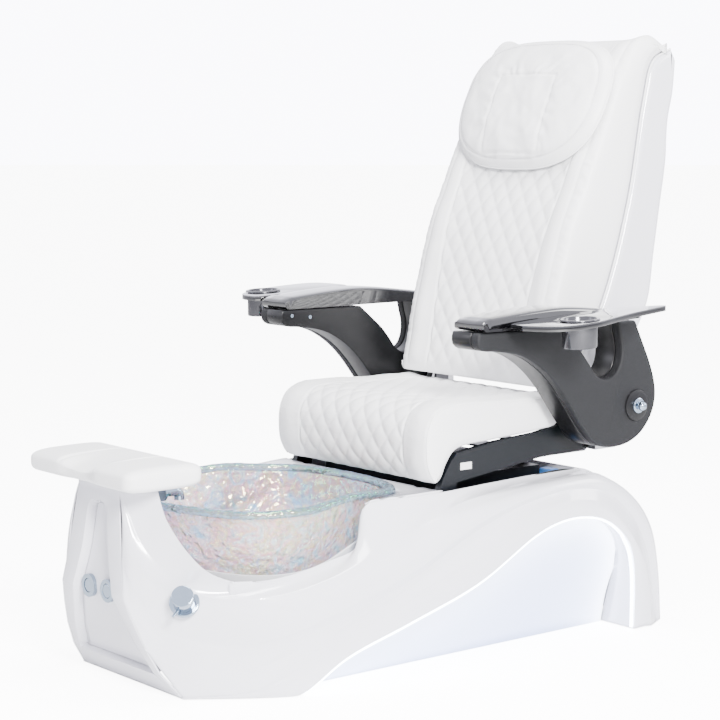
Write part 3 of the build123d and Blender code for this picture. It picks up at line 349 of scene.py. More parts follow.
def hammer_group():
    """Height and pearly colour of hammered glass."""
    tree, start, end = shader_group(
        "hammered_glass",
        [("Size", "NodeSocketFloat", 60.0), ("Tint", "NodeSocketColor", (0.9, 0.95, 1, 1)),
         ("Pearl", "NodeSocketFloat", 0.5)],
        [("Height", "NodeSocketFloat"), ("Color", "NodeSocketColor")],
    )
    place = node(tree, "ShaderNodeTexCoord")
    drift = node(tree, "ShaderNodeTexNoise",
                 {"Vector": place.outputs["Object"], "Scale": 26.0, "Detail": 2.0})
    bent = node(tree, "ShaderNodeMix", {0: 0.035, 4: place.outputs["Object"], 5: drift.outputs["Color"]},
                data_type="VECTOR")
    dents = node(tree, "ShaderNodeTexVoronoi",
                 {"Vector": bent.outputs[1], "Scale": start.outputs["Size"], "Smoothness": 0.7},
                 feature="SMOOTH_F1")
    pearl = node(tree, "ShaderNodeTexNoise",
                 {"Vector": place.outputs["Object"], "Scale": 30.0, "Detail": 2.0, "Distortion": 1.2})
    ramp = node(tree, "ShaderNodeValToRGB", {"Fac": pearl.outputs["Fac"]})
    ramp.color_ramp.elements[0].position, ramp.color_ramp.elements[0].color = 0.30, (0.36, 0.70, 1.0, 1)
    ramp.color_ramp.elements[1].position, ramp.color_ramp.elements[1].color = 0.70, (0.60, 0.48, 1.0, 1)
    for spot, colour in ((0.42, (0.95, 0.97, 1.0, 1)), (0.50, (1.0, 0.52, 0.66, 1)),
                         (0.57, (1.0, 0.84, 0.45, 1)), (0.63, (0.92, 0.98, 0.96, 1))):
        made = ramp.color_ramp.elements.new(spot)
        made.color = colour
    mix = node(tree, "ShaderNodeMix",
               {0: start.outputs["Pearl"], 6: start.outputs["Tint"], 7: ramp.outputs["Color"]},
               data_type="RGBA")
    tree.links.new(dents.outputs["Distance"], end.inputs["Height"])
    tree.links.new(mix.outputs[2], end.inputs["Color"])
    return tree


GROUPS = {}
MATERIALS = {}


def surface(name, colour, shade=None, amount=0.12, scale=12.0, rough=0.4, spread=0.1, grain=None,
            height="Height",
            bump=0.1, distance=0.001, grain_values=None, **sockets):
    """A finished material: cloudy tone, a grain that lifts the surface, and its own fixed values."""
    made = bpy.data.materials.new(name)
    made.use_nodes = True
    tree = made.node_tree
    shader = tree.nodes["Principled BSDF"]
    tone = node(tree, "ShaderNodeGroup")
    tone.node_tree = GROUPS["tone"]
    tone.inputs["Color"].default_value = (*colour[:3], 1)
    shade = shade or [c * 0.8 for c in colour[:3]]
    tone.inputs["Shade"].default_value = (*shade[:3], 1)
    for key, value in (("Amount", amount), ("Scale", scale), ("Roughness", rough), ("Spread", spread)):
        tone.inputs[key].default_value = value
    tree.links.new(tone.outputs["Color"], shader.inputs["Base Color"])
    tree.links.new(tone.outputs["Roughness"], shader.inputs["Roughness"])
    if grain:
        texture = node(tree, "ShaderNodeGroup")
        texture.node_tree = GROUPS[grain]
        for key, value in (grain_values or {}).items():
            texture.inputs[key].default_value = value
        lift = node(tree, "ShaderNodeBump",
                    {"Height": texture.outputs[height], "Strength": bump, "Distance": distance})
        tree.links.new(lift.outputs["Normal"], shader.inputs["Normal"])
    for key, value in sockets.items():
        label = key.replace("_", " ")
        shader.inputs[label].default_value = (*value, 1) if isinstance(value,
                (tuple, list)) and len(value) == 3 else value
    made.diffuse_color = (*colour[:3], 1)
    MATERIALS[name] = made
    return made


class CHAIR_OT_materials(bpy.types.Operator):
    """Make the chair's finishes"""

    bl_idname = "chair.materials"
    bl_label = "Finishes"

    def execute(self, context):
        look = colours()
        GROUPS.update(tone=tone_group(), leather=leather_group(), pebble=speckle_group(),
                      hammer=hammer_group())
        fine = {"Pore Scale": 160.0, "Wrinkle Scale": 7.0, "Wrinkle": 1.0}
        surface("gelcoat", tuple(look.shell), shade=(0.62, 0.60, 0.72), amount=0.15, scale=2.5, rough=0.16,
                spread=0.05,
                grain="leather", bump=0.02, distance=0.002, grain_values=fine, Coat_Weight=0.6,
                Coat_Roughness=0.04)
        surface("well_white", (0.80, 0.80, 0.83), amount=0.15, scale=6.0, rough=0.25, grain="leather",
                bump=0.03, grain_values=fine)
        surface("leather_white", tuple(look.leather), shade=(0.70, 0.69, 0.71), amount=0.10, scale=9.0,
                rough=0.46, spread=0.16,
                grain="leather", bump=0.20, distance=0.0012)
        surface("leather_pillow", tuple(look.leather), shade=(0.70, 0.69, 0.71), amount=0.10, scale=9.0,
                rough=0.42, spread=0.16,
                grain="leather", bump=0.26, distance=0.002,
                grain_values={"Wrinkle Scale": 14.0, "Wrinkle": 1.6})
        surface("thread_white", (0.66, 0.65, 0.68), amount=0.3, scale=300.0, rough=0.7, grain="pebble",
                bump=0.3)
        surface("pad_white", tuple(look.pad), amount=0.10, scale=5.0, rough=0.50, spread=0.10,
                grain="pebble", bump=0.05, distance=0.0004)
        surface("arm_texture", tuple(look.arm), shade=(0.011, 0.0115, 0.013), amount=0.45, scale=340.0,
                rough=0.58, spread=0.2,
                grain="pebble", bump=0.45, distance=0.0006, Specular_IOR_Level=0.22)
        surface("arm_satin", (0.0035, 0.0035, 0.004), shade=(0.008, 0.008, 0.009), amount=0.25, scale=30.0,
                rough=0.30, spread=0.14,
                grain="pebble", bump=0.05, distance=0.0003, Specular_IOR_Level=0.25)
        surface("black_lacquer", tuple(look.lacquer), shade=(0.003, 0.003, 0.004), amount=0.2, scale=8.0,
                rough=0.035, spread=0.02,
                grain="leather", bump=0.01, grain_values=fine, Coat_Weight=1.0, Coat_Roughness=0.01)
        surface("black_plastic", (0.0015, 0.0025, 0.004), shade=(0.004, 0.005, 0.007), amount=0.3,
                scale=18.0, rough=0.36, spread=0.12,
                grain="pebble", bump=0.08, distance=0.0004, Specular_IOR_Level=0.25)
        surface("cup_black", (0.05, 0.05, 0.055), shade=(0.12, 0.12, 0.13), amount=0.3, scale=40.0,
                rough=0.14, spread=0.06, Metallic=0.7)
        # Chrome: its dark blue-grey colour is a painted reflection of dark blue surroundings on bright metal,
        # not the metal's own colour.
        surface("chrome", (0.30, 0.36, 0.43), shade=(0.16, 0.21, 0.28), amount=0.35, scale=30.0, rough=0.07,
                spread=0.06, Metallic=1.0)
        surface("steel_dark", (0.10, 0.10, 0.11), shade=(0.05, 0.05, 0.055), amount=0.5, scale=40.0,
                rough=0.42, grain="pebble", bump=0.1, Metallic=0.6)
        surface("alloy", (0.55, 0.55, 0.57), shade=(0.4, 0.4, 0.42), amount=0.5, scale=60.0, rough=0.33,
                spread=0.2, Metallic=1.0)
        surface("rubber_black", (0.03, 0.03, 0.032), amount=0.4, scale=60.0, rough=0.75, grain="pebble",
                bump=0.2)
        surface("jet_plastic", (0.62, 0.66, 0.72), amount=0.2, rough=0.2, grain="pebble", bump=0.03)
        surface("blue_plastic", (0.05, 0.16, 0.42), amount=0.35, scale=40.0, rough=0.4, grain="pebble",
                bump=0.1)
        surface("label_white", (0.80, 0.80, 0.78), shade=(0.55, 0.55, 0.55), amount=0.35, scale=120.0,
                rough=0.5, grain="pebble", bump=0.05)
        self.glass("bowl_glass", (0.55, 0.78, 1.0), 0.85, 0.03)
        self.glass("rim_glass", (0.20, 0.31, 0.40), 0.18, 0.05)
        self.lit_panel(look)
        return {"FINISHED"}

    def glass(self, name, tint, pearl, rough):
        """Clear hammered glass with a pearly film."""
        made = surface(name, tint, rough=rough, spread=0.02, amount=0.0, Transmission_Weight=0.86, IOR=1.42,
                       Thin_Film_Thickness=420.0,
                       Thin_Film_IOR=1.7)
        tree = made.node_tree
        shader = tree.nodes["Principled BSDF"]
        dents = node(tree, "ShaderNodeGroup")
        dents.node_tree = GROUPS["hammer"]
        dents.inputs["Size"].default_value = 1.0 / sizes().hammer_size
        dents.inputs["Tint"].default_value = (*tint, 1)
        dents.inputs["Pearl"].default_value = pearl
        lift = node(tree, "ShaderNodeBump",
                    {"Height": dents.outputs["Height"], "Strength": 0.75, "Distance": 0.006})
        tree.links.new(dents.outputs["Color"], shader.inputs["Base Color"])
        tree.links.new(lift.outputs["Normal"], shader.inputs["Normal"])

    def lit_panel(self, look):
        """The side panels: they glow most beside their lit edge."""
        made = surface("light_panel", (0.62, 0.68, 0.90), shade=(0.56, 0.63, 0.90), amount=0.2, scale=3.0,
                       rough=0.35, grain="pebble", bump=0.02)
        tree = made.node_tree
        shader = tree.nodes["Principled BSDF"]
        glow = node(tree, "ShaderNodeAttribute", attribute_name="glow")
        mix = node(tree, "ShaderNodeMix",
                   {0: glow.outputs["Fac"], 6: (0.05, 0.08, 0.18, 1), 7: (0.92, 0.96, 1.0, 1)},
                   data_type="RGBA")
        tree.links.new(mix.outputs[2], shader.inputs["Emission Color"])
        shader.inputs["Emission Strength"].default_value = 6.0
        strip = surface("led_strip", tuple(look.light), rough=0.4, amount=0.05, grain="pebble", bump=0.02)
        shader = strip.node_tree.nodes["Principled BSDF"]
        shader.inputs["Emission Color"].default_value = (0.86, 0.93, 1.0, 1)
        shader.inputs["Emission Strength"].default_value = 16.0


# ---------------------------------------------------------------- stage
class CHAIR_OT_stage(bpy.types.Operator):
    """Lay the floor and set the lights and the camera"""

    bl_idname = "chair.stage"
    bl_label = "Stage"

    def execute(self, context):
        floor_white = surface("floor_white", (0.95, 0.95, 0.955), shade=(0.92, 0.92, 0.93), amount=0.3,
                              scale=1.5, rough=0.65, spread=0.05,
                              Emission_Color=(1.0, 1.0, 1.0))
        tree = floor_white.node_tree
        seen = node(tree, "ShaderNodeLightPath")
        glow = node(tree, "ShaderNodeMath", {0: seen.outputs["Is Camera Ray"], 1: 9.0}, operation="MULTIPLY")
        tree.links.new(glow.outputs[0], tree.nodes["Principled BSDF"].inputs["Emission Strength"])
        spans = np.r_[-60, -20, -6, np.linspace(-3, 3, 13), 6, 20, 60]
        rows = [[(x, y, -0.001) for x in spans] for y in spans]
        floor = put("studio_floor", np.vstack(rows), net(rows), floor_white)
        world = bpy.data.worlds.new("studio_air")
        world.use_nodes = True
        air = world.node_tree
        seen = node(air, "ShaderNodeLightPath")
        shine = node(air, "ShaderNodeMath", {0: seen.outputs["Is Glossy Ray"], 1: 2.6, 2: 0.72},
                     operation="MULTIPLY_ADD")
        total = node(air, "ShaderNodeMath",
                     {0: seen.outputs["Is Camera Ray"], 1: 11.0, 2: shine.outputs[0]},
                     operation="MULTIPLY_ADD")
        air.nodes["Background"].inputs["Color"].default_value = (0.90, 0.90, 1.0, 1)
        air.links.new(total.outputs[0], air.nodes["Background"].inputs["Strength"])
        context.scene.world = world
        for name, place, aim, size, power, tint in (
            ("key_softbox", (4.4, -1.9, 2.9), (0, -0.1, 0.6), 1.3, 1050, (1.0, 0.995, 0.985)),
            ("fill_softbox", (-2.6, -4.4, 2.2), (0, 0, 0.6), 1.6, 55, (0.92, 0.93, 1.0)),
            ("top_softbox", (0.6, -0.2, 4.2), (0, 0, 0.6), 1.6, 260, (1, 1, 1)),
            ("rear_softbox", (2.4, 3.6, 2.4), (0, 0.2, 0.8), 1.6, 110, (1, 1, 1)),
        ):
            lamp = bpy.data.lights.new(name, "AREA")
            lamp.size, lamp.energy, lamp.color = size, power, tint
            stand = bpy.data.objects.new(name, lamp)
            stand.location = place
            stand.rotation_euler = (Vector(aim) - Vector(place)).to_track_quat("-Z", "Y").to_euler()
            context.scene.collection.objects.link(stand)
        lens = bpy.data.cameras.new("chair_camera")
        lens.lens, lens.sensor_width, lens.clip_end = 101.9, 36.0, 60.0
        eye = bpy.data.objects.new("chair_camera", lens)
        turn, dip = radians(50.9), radians(6.6)
        eye.location = (3.6423, -2.9563, 1.1930)
        eye.rotation_euler = Vector((-sin(turn) * cos(dip), cos(turn) * cos(dip),
                                     -sin(dip))).to_track_quat("-Z", "Y").to_euler()
        context.scene.collection.objects.link(eye)
        context.scene.camera = eye
        return {"FINISHED"}


# ---------------------------------------------------------------- base
# Long lines of the base on the sitter's left, front to rear, in millimetres.
LINE_FOOT = [(196, -630, 0), (240, -570, 0), (288, -500, 0), (314, -455, 0), (328, -418, 4)]
LINE_LIT = [
    (345, -312, 67), (360, -150, 120), (371, 46, 184), (379, 208, 270), (381, 270, 291), (381, 335, 298),
    (381, 402, 290),
    (380, 450, 272), (379, 490, 243), (377, 522, 203), (375, 537, 150), (374, 541, 90), (373, 541, 0),
]
LINE_LOW = [
    (193, -633, 5), (222, -592, 5), (256, -548, 9), (292, -495, 22), (320, -435, 48), (338, -367, 80),
    (345, -306, 106), (352, -242, 136),
    (363, -132, 183), (373, 40, 249), (380, 195, 317), (382, 270, 334), (382, 338, 338), (382, 424, 318),
    (381, 494, 266),
    (379, 559, 179), (377, 588, 90), (376, 598, 0),
]
LINE_SWELL = [
    (155, -697, 110), (176, -668, 84), (208, -620, 66), (250, -556, 58), (292, -492, 68), (320, -432, 92),
    (338, -370, 114), (348, -300, 140),
    (355, -240, 160), (364, -128, 206), (372, 46, 282), (377, 204, 338), (379, 340, 354), (379, 434, 336),
    (377, 514, 280),
    (374, 572, 203), (370, 604, 115), (367, 618, 0),
]
LINE_WAVE_EDGE = [
    (121, -728, 215), (140, -704, 178), (166, -668, 135), (200, -622, 108), (240, -568, 98),
    (290, -494, 104), (330, -414, 128), (346, -350, 150),
    (354, -290, 166), (358, -240, 180), (364, -128, 222), (370, 50, 304), (375, 210, 350), (376, 350, 362),
    (376, 440, 345),
    (374, 526, 287), (370, 580, 216), (366, 612, 128), (362, 628, 0),
]
LINE_WAVE = [
    (102, -719, 300), (123, -716, 262), (142, -699, 215), (160, -676, 170), (181, -648, 140),
    (208, -609, 123), (232, -574, 116),
    (257, -540, 114), (292, -488, 120), (325, -425, 138), (345, -352, 164), (353, -292, 184),
    (357, -240, 198), (362, -129, 236),
    (368, 52, 318), (372, 214, 359), (373, 357, 368), (372, 444, 351), (370, 535, 293), (366, 586, 227),
    (361, 618, 140), (357, 636, 0),
]
LINE_ROLL = [
    (78, -706, 440), (102, -700, 392), (126, -692, 342), (156, -668, 292), (192, -636, 248),
    (230, -594, 222), (270, -540, 214),
    (300, -478, 216), (316, -415, 224), (325, -345, 240), (330, -290, 256), (331, -199, 287),
    (332, -97, 318), (332, 11, 357),
    (332, 138, 375), (332, 269, 382), (332, 400, 386), (332, 440, 383), (333, 478, 368), (335, 545, 328),
    (340, 596, 277),
    (345, 626, 219), (348, 645, 110), (350, 652, 0),
]
LINE_RIM = [
    (157, -662, 440), (163, -658, 412), (173, -652, 380), (204, -629, 322), (236, -594, 274),
    (260, -538, 248), (274, -464, 245),
    (281, -397, 251), (284, -307, 267), (284, -246, 281), (279, -224, 300), (266, -213, 340),
    (264, -196, 371),
    (276, -100, 377), (290, 4, 380), (291, 138, 385), (291, 269, 389), (291, 400, 390), (291, 440, 388),
    (291, 478, 374),
    (291, 545, 334), (292, 596, 283), (292, 626, 225), (294, 645, 116), (295, 655, 0),
]
FRONT_EDGE = [(196, -630, 0), (172, -672, 55), (155, -697, 110), (137, -715, 165), (121, -728, 215),
              (111, -724, 250), (102, -719, 300),
              (90, -713, 370), (78, -706, 440)]
PILLAR_PANEL = [(148, 50), (112, 130), (84, 195), (66, 250), (54, 290), (46, 330), (41, 372), (36, 392),
                (22, 402), (0, 404)]
PANEL_SINK = 20.0
REAR_OPENING = [(264, -196, 371), (242, -135, 371), (212, -68, 371), (150, -32, 371), (80, -14, 371),
                (0, -8, 371)]
SLOPE_FLOOR_X = 262.0
SLOPE = 0.30
LIP_RISE = {0: 5.0, 1: 0.0, 2: 0.0, 3: 0.0, 4: 12.0, 5: -4.0}


def front_depth(z):
    """How far forward the front of the pillar stands at a height."""
    edge = np.array(FRONT_EDGE, float)
    return np.interp(z, edge[:, 2], edge[:, 1])


def strip_rows(low, high, shares, swell):
    """Rows between two long lines, swollen outwards between them."""
    rows = []
    for share in shares:
        row = low * (1 - share) + high * share
        lift = swell * sin(pi * share)
        rows.append(row + np.array([lift * 0.7, 0, lift * 0.6]))
    return rows


def shell_half(count):
    """The skin of the base on one side: lists of rows, each a patch."""
    shares = [0.0, 0.04, 0.12, 0.28, 0.5, 0.72, 0.88, 0.96]
    lines = [LINE_FOOT + LINE_LIT, LINE_LOW, LINE_SWELL, LINE_WAVE_EDGE, LINE_WAVE, LINE_ROLL, LINE_RIM]
    lines = [curve_points(line, count) for line in lines]
    along = np.linspace(0, 1, count)
    hollow = fade(along, 0.06, 0.30) * (1 - fade(along, 0.94, 1.0))
    lines[2] = lines[2] - np.column_stack([8.0 * hollow, 0 * along, 0 * along])
    lines[3] = lines[3] - np.column_stack([9.0 * hollow, 0 * along, 3.0 * hollow])
    side = []
    for index in range(len(lines) - 1):
        side += strip_rows(lines[index], lines[index + 1], shares, LIP_RISE[index])
    rim = lines[-1]
    side.append(rim)
    patches = [side]
    # back of the pillar
    ahead = [i for i in range(count) if rim[i][1] < -540]
    first = ahead[-1]
    patches.append([[rim[i] + (np.array([0, -592,
                                         rim[i][2]]) - rim[i]) * s for i in ahead] for s in np.linspace(0,
                                                 1, 7)])
    # wall that falls into the bowl's well
    second = int(np.argmin(np.abs(rim[:, 1] + 196) + 10 * (rim[:, 2] < 360)))
    mouth = [patches[1][k][-1] for k in range(6, 0,
                                              -1)] + list(rim[first : second
                                                      + 1]) + list(curve_points(REAR_OPENING, 20)[1:])
    mouth = np.array(mouth)
    wall = [mouth]
    for drop, pull in ((3, 0.006), (10, 0.012), (60, 0.03)):
        inner = mouth * [1 - pull, 1, 1] + [0, 0, -drop]
        inner[:, 1] = -300 + (inner[:, 1] + 300) * (1 - pull)
        wall.append(inner)
    patches.append(wall)
    # bridge behind the bowl
    third = int(np.argmin(np.abs(rim[:, 1] - 4)))
    outer = list(rim[second : third + 1]) + [np.array([x, 4, 378]) for x in np.linspace(270, 0, 14)]
    inner = curve_points(REAR_OPENING, len(outer))
    outer = spread(outer, len(inner))
    patches.append([inner * (1 - s) + outer * s for s in np.linspace(0, 1, 6)])
    # lip of the deck
    fourth = int(np.argmin(np.abs(rim[:, 1] - 452) + 10 * (rim[:, 1] < 400)))
    lip = [np.array([x, 4, 378]) for x in np.linspace(0, 270, 14)] + list(rim[third : fourth + 1])
    lip += [np.array([x, rim[fourth][1], rim[fourth][2]]) for x in np.linspace(270, 0, 14)]
    lip = np.array(lip)
    middle = np.array([0, 228, 0])
    patches.append([lip] + [(lip - middle) * [1 - p, 1 - p, 1] + middle - [0, 0, d] for d,
                            p in ((2, 0.004), (8, 0.007), (34, 0.008))])
    # rear
    patches.append([[rim[i] * [1 - s, 1, 1] for i in range(fourth, count)] for s in np.linspace(0, 1, 9)])
    # front, round the sunk panel
    top, bottom = FRONT_EDGE[-1], FRONT_EDGE[0]
    frame_line = [(x, z) for x, _, z in spread(FRONT_EDGE, 30)]
    frame_line += [(x, top[2]) for x in np.linspace(top[0], 0, 9)[1:]]
    edge = spread(frame_line, 60)
    outline = spread([(0, 0)] + [(x, 0) for x in np.linspace(0, bottom[0], 9)[1:]], 24)
    whole = np.vstack([outline[:-1], edge])
    inside = np.vstack([spread([(0, 50), (148, 50)], 24)[:-1], spread(curve_points(PILLAR_PANEL, 90), 60)])
    rows = []
    for share in (0.0, 0.03, 0.1, 0.4, 0.7, 0.92, 1.0):
        flat = whole * (1 - share) + inside * share
        rows.append([(x, front_depth(z) - (1.5 * sin(pi * share)), z) for x, z in flat])
    for sink, shrink in ((2, 1.2), (PANEL_SINK - 3, 7), (PANEL_SINK + 6, 8)):
        row = []
        for x, z in inside:
            row.append((max(x - shrink, 0) if x > 1 else 0, front_depth(z) + sink,
                        z + (shrink if z < 60 else -shrink * 0.6 if z > 396 else 0)))
        rows.append(row)
    patches.append(rows)
    # top of the pillar
    crown = spread([(78, -706), (0, -706)], 8)
    back_row = spread([(157, -662), (0, -592)], 8)
    patches.append([[(a[0] * (1 - s) + b[0] * s, a[1] * (1 - s) + b[1] * s, 440) for a,
                     b in zip(crown, back_row)] for s in np.linspace(0, 1, 5)])
    # return behind the lit edge
    lit = [p for p in lines[0] if p[1] > -418]
    patches.append([[p + [(max(SLOPE_FLOOR_X + SLOPE * p[2], 0) - 4 - p[0]) * s, 0,
                          -4.5 * min(1, s * 8)] for p in lit]
                    for s in (0.0, 0.02, 0.08, 0.5, 1.0)])
    return patches, lit


class CHAIR_OT_base(bpy.types.Operator):
    """Mould the base: creased sides, pillar, deck and rear, and the lit side panels"""

    bl_idname = "chair.base"
    bl_label = "Base"

    def execute(self, context):
        patches, lit = shell_half(sizes().strip_count)
        verts, faces = [], []
        for side in (1, -1):
            for patch in patches:
                rows = [np.array(row, float) * [side * MM, MM, MM] for row in patch]
                faces += net(rows, base=len(verts), flip=side < 0)
                verts += [tuple(p) for row in rows for p in row]
        shell = put("base_shell_skin", verts, faces, MATERIALS["gelcoat"])
        work = bmesh.new()
        work.from_mesh(shell.data)
        bmesh.ops.remove_doubles(work, verts=work.verts, dist=0.0006)
        bmesh.ops.dissolve_degenerate(work, edges=work.edges, dist=0.0002)
        bmesh.ops.recalc_face_normals(work, faces=work.faces)
        for vert in work.verts:
            vert.co.z = max(vert.co.z, 0.0005)
        work.to_mesh(shell.data)
        work.free()
        sharpen(shell, 50)
        thick = shell.modifiers.new("wall", "SOLIDIFY")
        thick.thickness, thick.offset = 0.004, -1.0
        settle(shell, "root", ["base_shell"])
        for name, side in SIDES:
            self.light(name, side, lit)
        self.front_panel()
        return {"FINISHED"}

    def light(self, name, side, lit):
        """One sloping panel and its lit strip."""
        line = np.array(lit)
        crest = line[line[:, 1] < 541.0]
        order = np.argsort(crest[:, 1])
        depths = np.linspace(-412, 538, 90)
        tops = np.interp(depths, crest[order][:, 1], crest[order][:, 2]) - 3
        rows, glow = [], []
        for share in np.linspace(0, 1, 26) ** 0.7:
            row = []
            for y, top in zip(depths, tops):
                z = max(top, 1.5) * share
                bow = 7.0 * sin(pi * share) * min(1.0, top / 150)
                row.append(((SLOPE_FLOOR_X + SLOPE * z - bow) * side * MM, y * MM, z * MM))
                gap = np.min(np.hypot(line[:, 1] - y, line[:, 2] - z))
                glow.append(min(1.0, 0.25 * exp(-gap / 130) + 0.95 * exp(-gap / 34)))
            rows.append(row)
        panel = put("light_panel_" + name, np.vstack(rows), net(rows, flip=side > 0),
                    MATERIALS["light_panel"])
        paint(panel, "glow", glow)
        thick = panel.modifiers.new("wall", "SOLIDIFY")
        thick.thickness, thick.offset = 0.003, -1.0
        settle(panel, "root", ["light_panel_" + name])
        rings = []
        for point in line[::2]:
            lean = np.array([(-11, -3.2), (-3, -3.2), (-2, -6.4), (-12, -6.4)], float)
            pull = np.array([0.0, -1.0 if point[1] > 500 else 0.0])
            rings.append([((point[0] + a) * side * MM, (point[1] + pull[1] * 4) * MM,
                           max(point[2] + b, 1.0) * MM) for a, b in lean])
        strip = tube("led_strip_" + name, rings, MATERIALS["led_strip"])
        settle(strip, "root", ["led_strip_" + name])

    def front_panel(self):
        """The sunk panel of the pillar, with the seam at its foot."""
        outline = [(x - 8.5, z) for x, z in curve_points(PILLAR_PANEL, 40)]
        rows = []
        for x, z in outline:
            z = min(max(z, 56), 397)
            half = max(x, 0.5)
            rows.append([(half * s, front_depth(z) + PANEL_SINK - 1.5, z) for s in np.linspace(-1, 1, 21)])
        rows = [[(x, y + (2.2 if 88 < z < 92 else 0), z) for x, y, z in row] for row in rows]
        rows = np.array(rows) * MM
        panel = put("front_access_panel_skin", rows.reshape(-1, 3), net(rows), MATERIALS["gelcoat"])
        work = bmesh.new()
        work.from_mesh(panel.data)
        bmesh.ops.remove_doubles(work, verts=work.verts, dist=0.0004)
        bmesh.ops.recalc_face_normals(work, faces=work.faces)
        if sum(f.normal.y for f in work.faces) > 0:
            bmesh.ops.reverse_faces(work, faces=work.faces)
        work.to_mesh(panel.data)
        work.free()
        thick = panel.modifiers.new("wall", "SOLIDIFY")
        thick.thickness, thick.offset = 0.003, -1.0
        settle(panel, "root", ["front_access_panel"])


# ---------------------------------------------------------------- bowl
BOWL_RIM = [(143, -551), (245, -495), (285, -394), (263, -241), (234, -125), (205, -60), (110, -14)]
BOWL_MIDDLE_Y = -300.0
BOWL_LEVELS = ((178, 0.50), (181, 0.56), (190, 0.64), (205, 0.735), (240, 0.83), (290, 0.895), (340, 0.93),
               (372, 0.95))


def bowl_loop(share, count):
    """The bowl's plan outline at a share of its rim."""
    loop = [(0, -580)] + BOWL_RIM + [(0, -2)] + [(-x, y) for x, y in reversed(BOWL_RIM)]
    line = curve_points(loop, count, closed=True)
    return np.column_stack([line[:, 0] * share, BOWL_MIDDLE_Y + (line[:, 1] - BOWL_MIDDLE_Y) * share])


def rim_lift(x, y):
    """The rim's rear corners stand a little higher."""
    return 11.0 * exp(-(((abs(x) - 258) / 90) ** 2) - ((y + 215) / 95) ** 2)


class CHAIR_OT_bowl(bpy.types.Operator):
    """Blow the hammered glass foot bowl with its rolled rim"""

    bl_idname = "chair.bowl"
    bl_label = "Glass bowl"

    def execute(self, context):
        count = 260
        heights = [level[0] for level in BOWL_LEVELS]
        shares = [level[1] for level in BOWL_LEVELS]
        outside, inside = [], []
        for z in np.linspace(heights[0], heights[-1], 46):
            share = np.interp(z, heights, shares)
            outside.append(self.ring(share, z, count, 1.1))
            inside.append(self.ring(share - 0.026, max(z, heights[0] + 7), count, 1.4))
        rings = [self.ring(s, 178, count, 0.3) for s in (0.04, 0.25, 0.4)] + outside
        rings += inside[::-1] + [self.ring(s, 185, count, 0.3) for s in (0.4, 0.25, 0.04)]
        bowl = tube("glass_bowl_body", rings, MATERIALS["bowl_glass"])
        profile = [(cos(a) * 1.0, sin(a)) for a in np.linspace(0, 2 * pi, 15)[:-1]]
        centre = bowl_loop(0.962, 300)
        rings = []
        for x, y in centre:
            out = Vector((x, y - BOWL_MIDDLE_Y)).normalized()
            lift = rim_lift(x, y)
            ring = []
            for a, b in profile:
                puff = 1.0 + 0.10 * noise.noise(Vector((x * 0.05, y * 0.05, b)))
                ring.append(((x + out.x * a * 11.5 * puff) * MM, (y + out.y * a * 11.5 * puff) * MM,
                             (379 + lift + b * 9.0 * puff) * MM))
            rings.append(ring)
        verts = np.vstack(rings)
        faces = net(rings + [rings[0]], around=True)
        faces = [[i % len(verts) for i in face] for face in faces]
        rim = put("glass_bowl_rim", verts, faces, MATERIALS["rim_glass"], turn_out=True)
        settle(bowl, "root", ["glass_bowl"])
        settle(rim, "root", ["glass_bowl"])
        return {"FINISHED"}

    def ring(self, share, z, count, rough):
        """One level of the bowl, its wall dented by the hammer."""
        ring = []
        top = max(0.0, (z - 330) / 42)
        for x, y in bowl_loop(share, count):
            out = Vector((x, y - BOWL_MIDDLE_Y)).normalized()
            dent = rough * noise.noise(Vector((x, y, z)) * 0.055) * 2
            lift = rim_lift(x / max(share, 0.1), BOWL_MIDDLE_Y + (y - BOWL_MIDDLE_Y) / max(share, 0.1)) * top
            ring.append(((x + out.x * dent) * MM, (y + out.y * dent) * MM, (z + lift) * MM))
        return ring


# ---------------------------------------------------------------- footrest
class CHAIR_OT_footrest(bpy.types.Operator):
    """Shape the footrest pad, its two lobes and the saddle between them"""

    bl_idname = "chair.footrest"
    bl_label = "Footrest pad"

    def execute(self, context):
        count, rings = 96, []
        for x in np.r_[np.linspace(-202, -195, 7)[:-1], np.linspace(-195, 195, 119),
                       np.linspace(195, 202, 7)[1:]]:
            end = min(1.0, max(0.0, (abs(x) - 176) / 26))
            shrink = 1 - (1 - max(0.0, 1 - end * end) ** 0.5) * 0.62
            saddle = exp(-((x / 60) ** 4))
            groove = exp(-(((abs(x) - 74) / 3.4) ** 2))
            ring = []
            for k in range(count):
                turn = 2 * pi * k / count
                c, s = cos(turn), sin(turn)
                u = np.sign(c) * abs(c) ** 0.42
                v = np.sign(s) * abs(s) ** 0.55
                y = -668 + 96 * u * (1 - (1 - shrink) * 0.42)
                z = 471 + 26 * v * shrink
                ahead = max(0.0, (-y - 640) / 124)
                if v > 0:
                    z -= (23 * ahead**1.4 * saddle + 5.5 * groove * v + 3.0 * ahead**2) * v
                ring.append((x * MM, (y + 8 * saddle * max(0.0, -u)) * MM, z * MM))
            rings.append(ring)
        pad = tube("footrest_pad_moulding", rings, MATERIALS["pad_white"])
        settle(pad, "footrest", ["footrest_pad"])
        return {"FINISHED"}


# ---------------------------------------------------------------- repeated things
def geometry_tree(name, inputs):
    """An empty geometry tree with named inputs."""
    tree = bpy.data.node_groups.new(name, "GeometryNodeTree")
    tree.interface.new_socket("Geometry", in_out="INPUT", socket_type="NodeSocketGeometry")
    for label, kind in inputs:
        tree.interface.new_socket(label, in_out="INPUT", socket_type=kind)
    tree.interface.new_socket("Geometry", in_out="OUTPUT", socket_type="NodeSocketGeometry")
    return tree, tree.nodes.new("NodeGroupInput"), tree.nodes.new("NodeGroupOutput")


